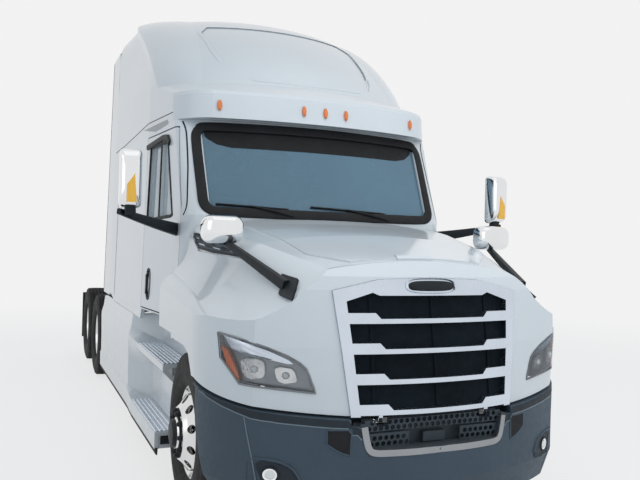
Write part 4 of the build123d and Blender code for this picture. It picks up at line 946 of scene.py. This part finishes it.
def cab_side_x(station, z):
    """X of the sleeper's side, which widens to the rear and leans in towards its top."""
    return 1.08 + (3.01 - 1.965) * 0.09 + (station - 3.01) * 0.025 - (z - 1.93) * 0.02


def upwards(name, side, plan, levels, look):
    """A skin of one plan of (x, station) that runs from height to height."""
    loft(name, [[spot(side, x, u, z) for x, u in plan] for z in levels], look)


def step_tread(tag, side, x0, x1, z):
    """The ribbed top of a step, and its nose."""
    ribs = max(5, round((x1 - x0) / RIB_PITCH))
    width = (x1 - x0) / ribs
    profile = [(x0, z - 0.004)]
    for r in range(ribs):
        left = x0 + (x1 - x0) * r / ribs
        profile += [(left + width * share, z + height) for share, height in TREAD_RIB]
    profile.append((x1, z - 0.004))
    for kind, section in (("", profile), ("nose_", [(x1 + a, z + b) for a, b in TREAD_NOSE])):
        rings = [[spot(side, x, u, h) for x, h in section] for u in TREAD_ENDS]
        loft(f"tread_{kind}{tag}", rings, "bright_trim", angle=20)


def fairing_trim(name, side):
    """Ribbed treads on the steps, the rubber skirt, the flange behind the wheel and the ledge on top."""
    for step, *place in STEPS:
        step_tread(f"{step}_{name}", side, *place)
    rings = [[spot(side, x + a, u, FAIRING_FOOT_Z + b) for a, b in SKIRT_SECTION] for u, x in SKIRT]
    loft(f"skirt_{name}", rings, "flap_rubber")
    upwards(f"flange_{name}", side, FLANGE, (FAIRING_FOOT_Z, 0.6, 1.1), "flap_rubber")
    upwards(f"step_nose_{name}", side, STEP_NOSE, (0.285, 0.345), "black_plastic")
    rings = []
    for u in LEDGE:
        wall = cab_side_x(u, LEDGE_TOP)
        section = ((LEDGE_X - 0.03, 1.065), (LEDGE_X, 1.065), (LEDGE_X, 1.072), (wall - 0.012, LEDGE_TOP),
                   (wall - 0.04, LEDGE_TOP))
        rings.append([spot(side, x, u, z) for x, z in section])
    loft(f"fairing_ledge_{name}", rings, "white_paint")


ROOF_CREASE_HALF = [(0.0, 3.03), (0.28, 3.036), (0.471, 3.048), (0.588, 3.097), (0.65, 3.17), (0.699, 3.314),
                    (0.718, 3.467), (0.737, 3.593)]
PILLAR_SEAM = [(1.04, 2.65), (1.024, 2.59), (1.02, 2.512), (1.025, 2.31), (1.036, 2.15), (1.048, 2.001),
               (1.07, 1.925)]
ROOF_SEAM = stations([(4.9, 2.667), (4.29, 2.68), (3.06, 2.735), (2.3, 2.73)])
DOOR_RECESS = stations([(3.265, 2.705), (2.45, 2.698), (2.395, 2.652), (2.79, 2.636)])
SLEEPER_SEAM = stations([(4.56, 1.16), (4.56, 2.6)])
EXTENDER_EDGE = ((-0.024, -0.002), (-0.001, -0.002), (0.0, 0.04), (-0.004, 0.06), (-0.02, 0.06),
                 (-0.024, 0.04))


def roof_crease():
    crease = flipped(-1, ROOF_CREASE_HALF[:0:-1]) + ROOF_CREASE_HALF
    strip("roof_crease", seat("roof_cap", "cab_shell"), crease, 0.05, 0.034, 0.004, "white_paint", smooth=True,
          angle=60)


def cab_trim(name, side):
    """The seams of the pillar, roof and sleeper, the recess over the door and the extender's rubber edge."""
    ground = seat("roof_cap", "cab_shell", view=name)
    strip(f"pillar_seam_{name}", seat("cab_shell"), flipped(side, PILLAR_SEAM), 0.04, 0.012, 0.002, "seal",
          smooth=True)
    strip(f"roof_side_seam_{name}", ground, ROOF_SEAM, 0.08, 0.007, 0.0015, "seal")
    patch(f"door_top_recess_{name}", ground, DOOR_RECESS, "shade_paint", "chassis", 0.0015, 0.003, 6, 16)
    rings = []
    for z in (1.132, 2.0, 3.0, 3.758):
        x = cab_side_x(4.92, z)
        rings.append([(side * (x + a), behind(5.45) + b, z) for a, b in EXTENDER_EDGE])
    loft(f"extender_edge_{name}", rings, "flap_rubber")
    strip(f"sleeper_seam_{name}", ground, SLEEPER_SEAM, 0.12, 0.007, 0.0015, "seal")


# ---- cab inside ------------------------------------------
FLOOR_TOP = 1.2103
# (height over the floor, width, depth) of the bellows under a seat
SEAT_BASE = ((0.002, 0.39, 0.41), (0.05, 0.39, 0.41), (0.09, 0.36, 0.38), (0.13, 0.39, 0.41),
             (0.17, 0.36, 0.38), (0.21, 0.39, 0.41), (0.25, 0.36, 0.38), (0.32, 0.4, 0.42))
BUNK = ((-1.12, 3.915), (1.12, 3.915), (1.12, 4.835), (-1.12, 4.835))
# (height, inwards) of the wall liner's section, and (station, z) of the rear liner and the mat
WALL_LINER = ((1.225, 0.0), (1.225, 0.012), (2.64, 0.012), (2.64, 0.0))
REAR_LINER = ((4.838, 1.225), (4.856, 1.225), (4.856, 3.4), (4.838, 3.4))
MAT = ((2.16, 1.2115), (2.16, 1.222), (3.9, 1.222), (3.9, 1.2115))


def cushion(name, low, high, crown, channels, fill, replaced=(), face="top"):
    """A stuffed form: full in its middle, drawn in at its seams, with sewn channels across its face."""
    shape = bmesh.new()
    bmesh.ops.create_cube(shape, size=2)
    bmesh.ops.subdivide_edges(shape, edges=shape.edges, cuts=15, use_grid_fill=True)
    middle = [(a + b) / 2 for a, b in zip(low, high)]
    half = [(b - a) / 2 for a, b in zip(low, high)]
    for vert in shape.verts:
        x, y, z = vert.co
        norm = sum(abs(c) ** 6 for c in (x, y, z)) ** (1 / 6)
        x, y, z = x / norm, y / norm, z / norm
        across, other, out = (x, y, z) if face == "top" else (x, z, -y)
        swell = (1 - across ** 2) * (1 - other ** 2)
        groove = sum(math.exp(-((other - c) / 0.045) ** 2) for c in channels) * max(0, out)
        out = out * (1 - crown) + crown * swell * (1 if out > 0 else 0) - 0.1 * groove * (1 - across ** 8)
        pull = 1 - 0.03 * (1 - other ** 2)
        across, other = across * pull, other * (1 - 0.03 * (1 - (across * pull) ** 2))
        x, y, z = (across, other, out) if face == "top" else (across, -out, other)
        vert.co = (middle[0] + half[0] * x, middle[1] + half[1] * y, middle[2] + half[2] * z)
    shape.verts.index_update()
    verts = [v.co.copy() for v in shape.verts]
    faces = [tuple(v.index for v in face.verts) for face in shape.faces]
    shape.free()
    piece = add_piece(name, verts, faces, "seat_fabric", angle=70, replaced=replaced)
    smoother = piece.modifiers.new("subsurf", "SUBSURF")
    smoother.levels = smoother.render_levels = 1


def block(x, half_width, start, end, low, high):
    """The low and high corners of a box, from its stations and its heights over the floor."""
    return ((x - half_width, behind(start), FLOOR_TOP + low), (x + half_width, behind(end), FLOOR_TOP + high))


def cab_seat(name, side):
    """A seat of padded forms on bellows."""
    x = side * 0.48
    cushion(f"seat_cushion_{name}", *block(x, 0.248, 2.562, 3.06, 0.325, 0.45), 0.3, (-0.45, 0.0, 0.45), 0.7,
            left_only(side, "seats"))
    cushion(f"seat_back_{name}", *block(x, 0.238, 3.0, 3.138, 0.43, 0.94), 0.3, (-0.5, -0.1, 0.3), 0.7,
            face="front")
    cushion(f"seat_head_{name}", *block(x, 0.15, 3.01, 3.12, 0.945, 1.128), 0.3, (), 0.8, face="front")
    rings = [placed(rounded(w, d, 0.03), (x, behind(2.83), FLOOR_TOP + h), (1, 0, 0), (0, 1, 0))
             for h, w, d in SEAT_BASE]
    loft(f"seat_base_{name}", rings, "black_plastic")


def bunk():
    cushion("bunk_mattress", *block(0.0, 1.12, 3.91, 4.84, 0.28, 0.448), 0.22, (-0.5, 0.0, 0.5), 0.6)
    upwards("bunk_base", 1, BUNK, (FLOOR_TOP + 0.002, FLOOR_TOP + 0.279), "liner")


def side_liner(name, side):
    wall = [(u, 1.155 + (u - 3.06) * 0.025 - 0.062) for u in (3.06, 3.7, 4.3, 4.855)]
    rings = [[spot(side, x - t - (h - 1.93) * 0.02, u, h) for h, t in WALL_LINER] for u, x in wall]
    loft(f"side_liner_{name}", rings, "liner")


def liners_across():
    for name, outline, xs, look in (("rear_liner", REAR_LINER, (-1.08, -0.4, 0.4, 1.08), "liner"),
                                    ("floor_mat", MAT, (-0.955, 0.0, 0.955), "flap_rubber")):
        loft(name, [[(x, behind(u), h) for u, h in outline] for x in xs], look)


# ---- studio ----------------------------------------------
CAMERA_PLACE = Vector((-2.167, -7.78, 1.741))
CAMERA_YAW = math.radians(25.317)
CAMERA_PITCH = math.radians(0.197)
CAMERA_ROLL = math.radians(-1.492)
IMAGE_WIDTH = 640
FOCAL_PIXELS = 739.94
SHIFT_PIXELS = (46.1, 2.4)
SENSOR = 36.0
BACKDROP = 0.89                  # brightness of the plain ground the tractor is seen against
SKY, SKY_STRENGTH = (0.86, 0.93, 1.0, 1), 0.62
FLOOR_HALF = 60.0
FLOOR_FADE = (6.0, 13.0)            # distances from the middle between which the floor becomes backdrop
# name, place, target, size, power and whether bright metal mirrors it
LIGHTS = (("key", (9, -11.5, 4.6), (0, -3, 1.2), 10, 430, False),
          ("fill", (-11, -6, 6), (0, 0, 1.5), 9, 110, True),
          ("top", (0, -4, 12), (0, -3, 1.5), 9, 50, True),
          ("near", (-0.1, -4.7, 4.0), (-0.1, -3.2, 1.7), 2.5, 34, False))


def add_camera():
    """The camera that was fitted to the photograph."""
    flat = Vector((math.sin(CAMERA_YAW), math.cos(CAMERA_YAW), 0))
    across = Vector((math.cos(CAMERA_YAW), -math.sin(CAMERA_YAW), 0))
    down = Vector((0, 0, -1))
    forward = flat * math.cos(CAMERA_PITCH) - down * math.sin(CAMERA_PITCH)
    down = down * math.cos(CAMERA_PITCH) + flat * math.sin(CAMERA_PITCH)
    right = across * math.cos(CAMERA_ROLL) + down * math.sin(CAMERA_ROLL)
    down = down * math.cos(CAMERA_ROLL) - across * math.sin(CAMERA_ROLL)
    data = bpy.data.cameras.new("camera")
    data.sensor_width = SENSOR
    data.lens = SENSOR * FOCAL_PIXELS / IMAGE_WIDTH
    data.shift_x = -SHIFT_PIXELS[0] / IMAGE_WIDTH
    data.shift_y = SHIFT_PIXELS[1] / IMAGE_WIDTH
    data.clip_end = 200
    camera = bpy.data.objects.new("camera", data)
    turn = Matrix((right, -down, -forward)).transposed().to_4x4()
    camera.matrix_world = Matrix.Translation(CAMERA_PLACE) @ turn
    bpy.context.scene.collection.objects.link(camera)
    bpy.context.scene.camera = camera


def add_light(name, place, target, size, power, mirrored):
    data = bpy.data.lights.new(name, "AREA")
    data.size = size
    data.energy = power
    light = bpy.data.objects.new(name, data)
    light.visible_glossy = mirrored
    light.visible_camera = False
    light.location = place
    light.rotation_euler = (Vector(target) - Vector(place)).to_track_quat("-Z", "Y").to_euler()
    bpy.context.scene.collection.objects.link(light)


def add_world():
    """A pale sky that lights the tractor, and a plain backdrop where the camera or a mirror sees it."""
    world = bpy.data.worlds.new("world")
    world.use_nodes = True
    world.node_tree.nodes.clear()
    tree = Tree(world.node_tree)
    seen = tree.seen()
    sky, plain = (tree.node("Background", {"Color": colour, "Strength": strength}).outputs[0]
                  for colour, strength in ((SKY, SKY_STRENGTH), ((1.0, 1.0, 1.0, 1), BACKDROP)))
    mix = tree.node("MixShader", {0: seen, 1: sky, 2: plain}).outputs[0]
    tree.node("OutputWorld", {0: mix})
    bpy.context.scene.world = world


def add_floor():
    """The ground, which turns into the backdrop where the camera or a mirror sees it from afar."""
    s = Shader("floor_look", 0.8)
    s.put("Base Color", s.ramp(s.noise(0.6, 3), 0.3, 0.7, (0.9, 0.905, 0.91, 1), (0.93, 0.935, 0.94, 1)))
    s.bump(s.noise(60, 3), 0.0005, 0.3)
    seen = s.seen()
    away = s.node("VectorMath", {0: s.place}, operation="LENGTH").outputs["Value"]
    share = s.maths("MULTIPLY", seen, s.map(away, *FLOOR_FADE, 0.8, 1.0))
    white = s.node("Emission", {"Color": (1, 1, 1, 1), "Strength": BACKDROP}).outputs[0]
    mix = s.node("MixShader", {0: share, 1: s.bsdf.outputs[0], 2: white})
    s.tree.links.new(mix.outputs[0], s.tree.nodes["Material Output"].inputs["Surface"])
    mesh = bpy.data.meshes.new("floor")
    corners = ((-1, -1), (1, -1), (1, 1), (-1, 1))
    mesh.from_pydata([(a * FLOOR_HALF, b * FLOOR_HALF, 0) for a, b in corners], [], [(0, 1, 2, 3)])
    mesh.materials.append(s.material)
    floor = bpy.data.objects.new("floor", mesh)
    bpy.context.scene.collection.objects.link(floor)


def add_studio():
    add_world()
    add_floor()
    add_camera()
    for light in LIGHTS:
        add_light(*light)
    bpy.context.scene.view_settings.view_transform = "Standard"


def on_both_sides(*makers):
    for maker in makers:
        for name, side in SIDES:
            maker(name, side)


dress_nodes()
on_both_sides(wheels, headlamp)
emblem()
windscreen_trim()
hood_scoop()
on_both_sides(hood_vent, door_trim, door_mirror, hood_mirror)
marker_lamps()
on_both_sides(bumper_lamps, bumper_trim, fairing_trim)
roof_crease()
on_both_sides(cab_trim, cab_seat)
bunk()
on_both_sides(side_liner)
liners_across()
add_studio()
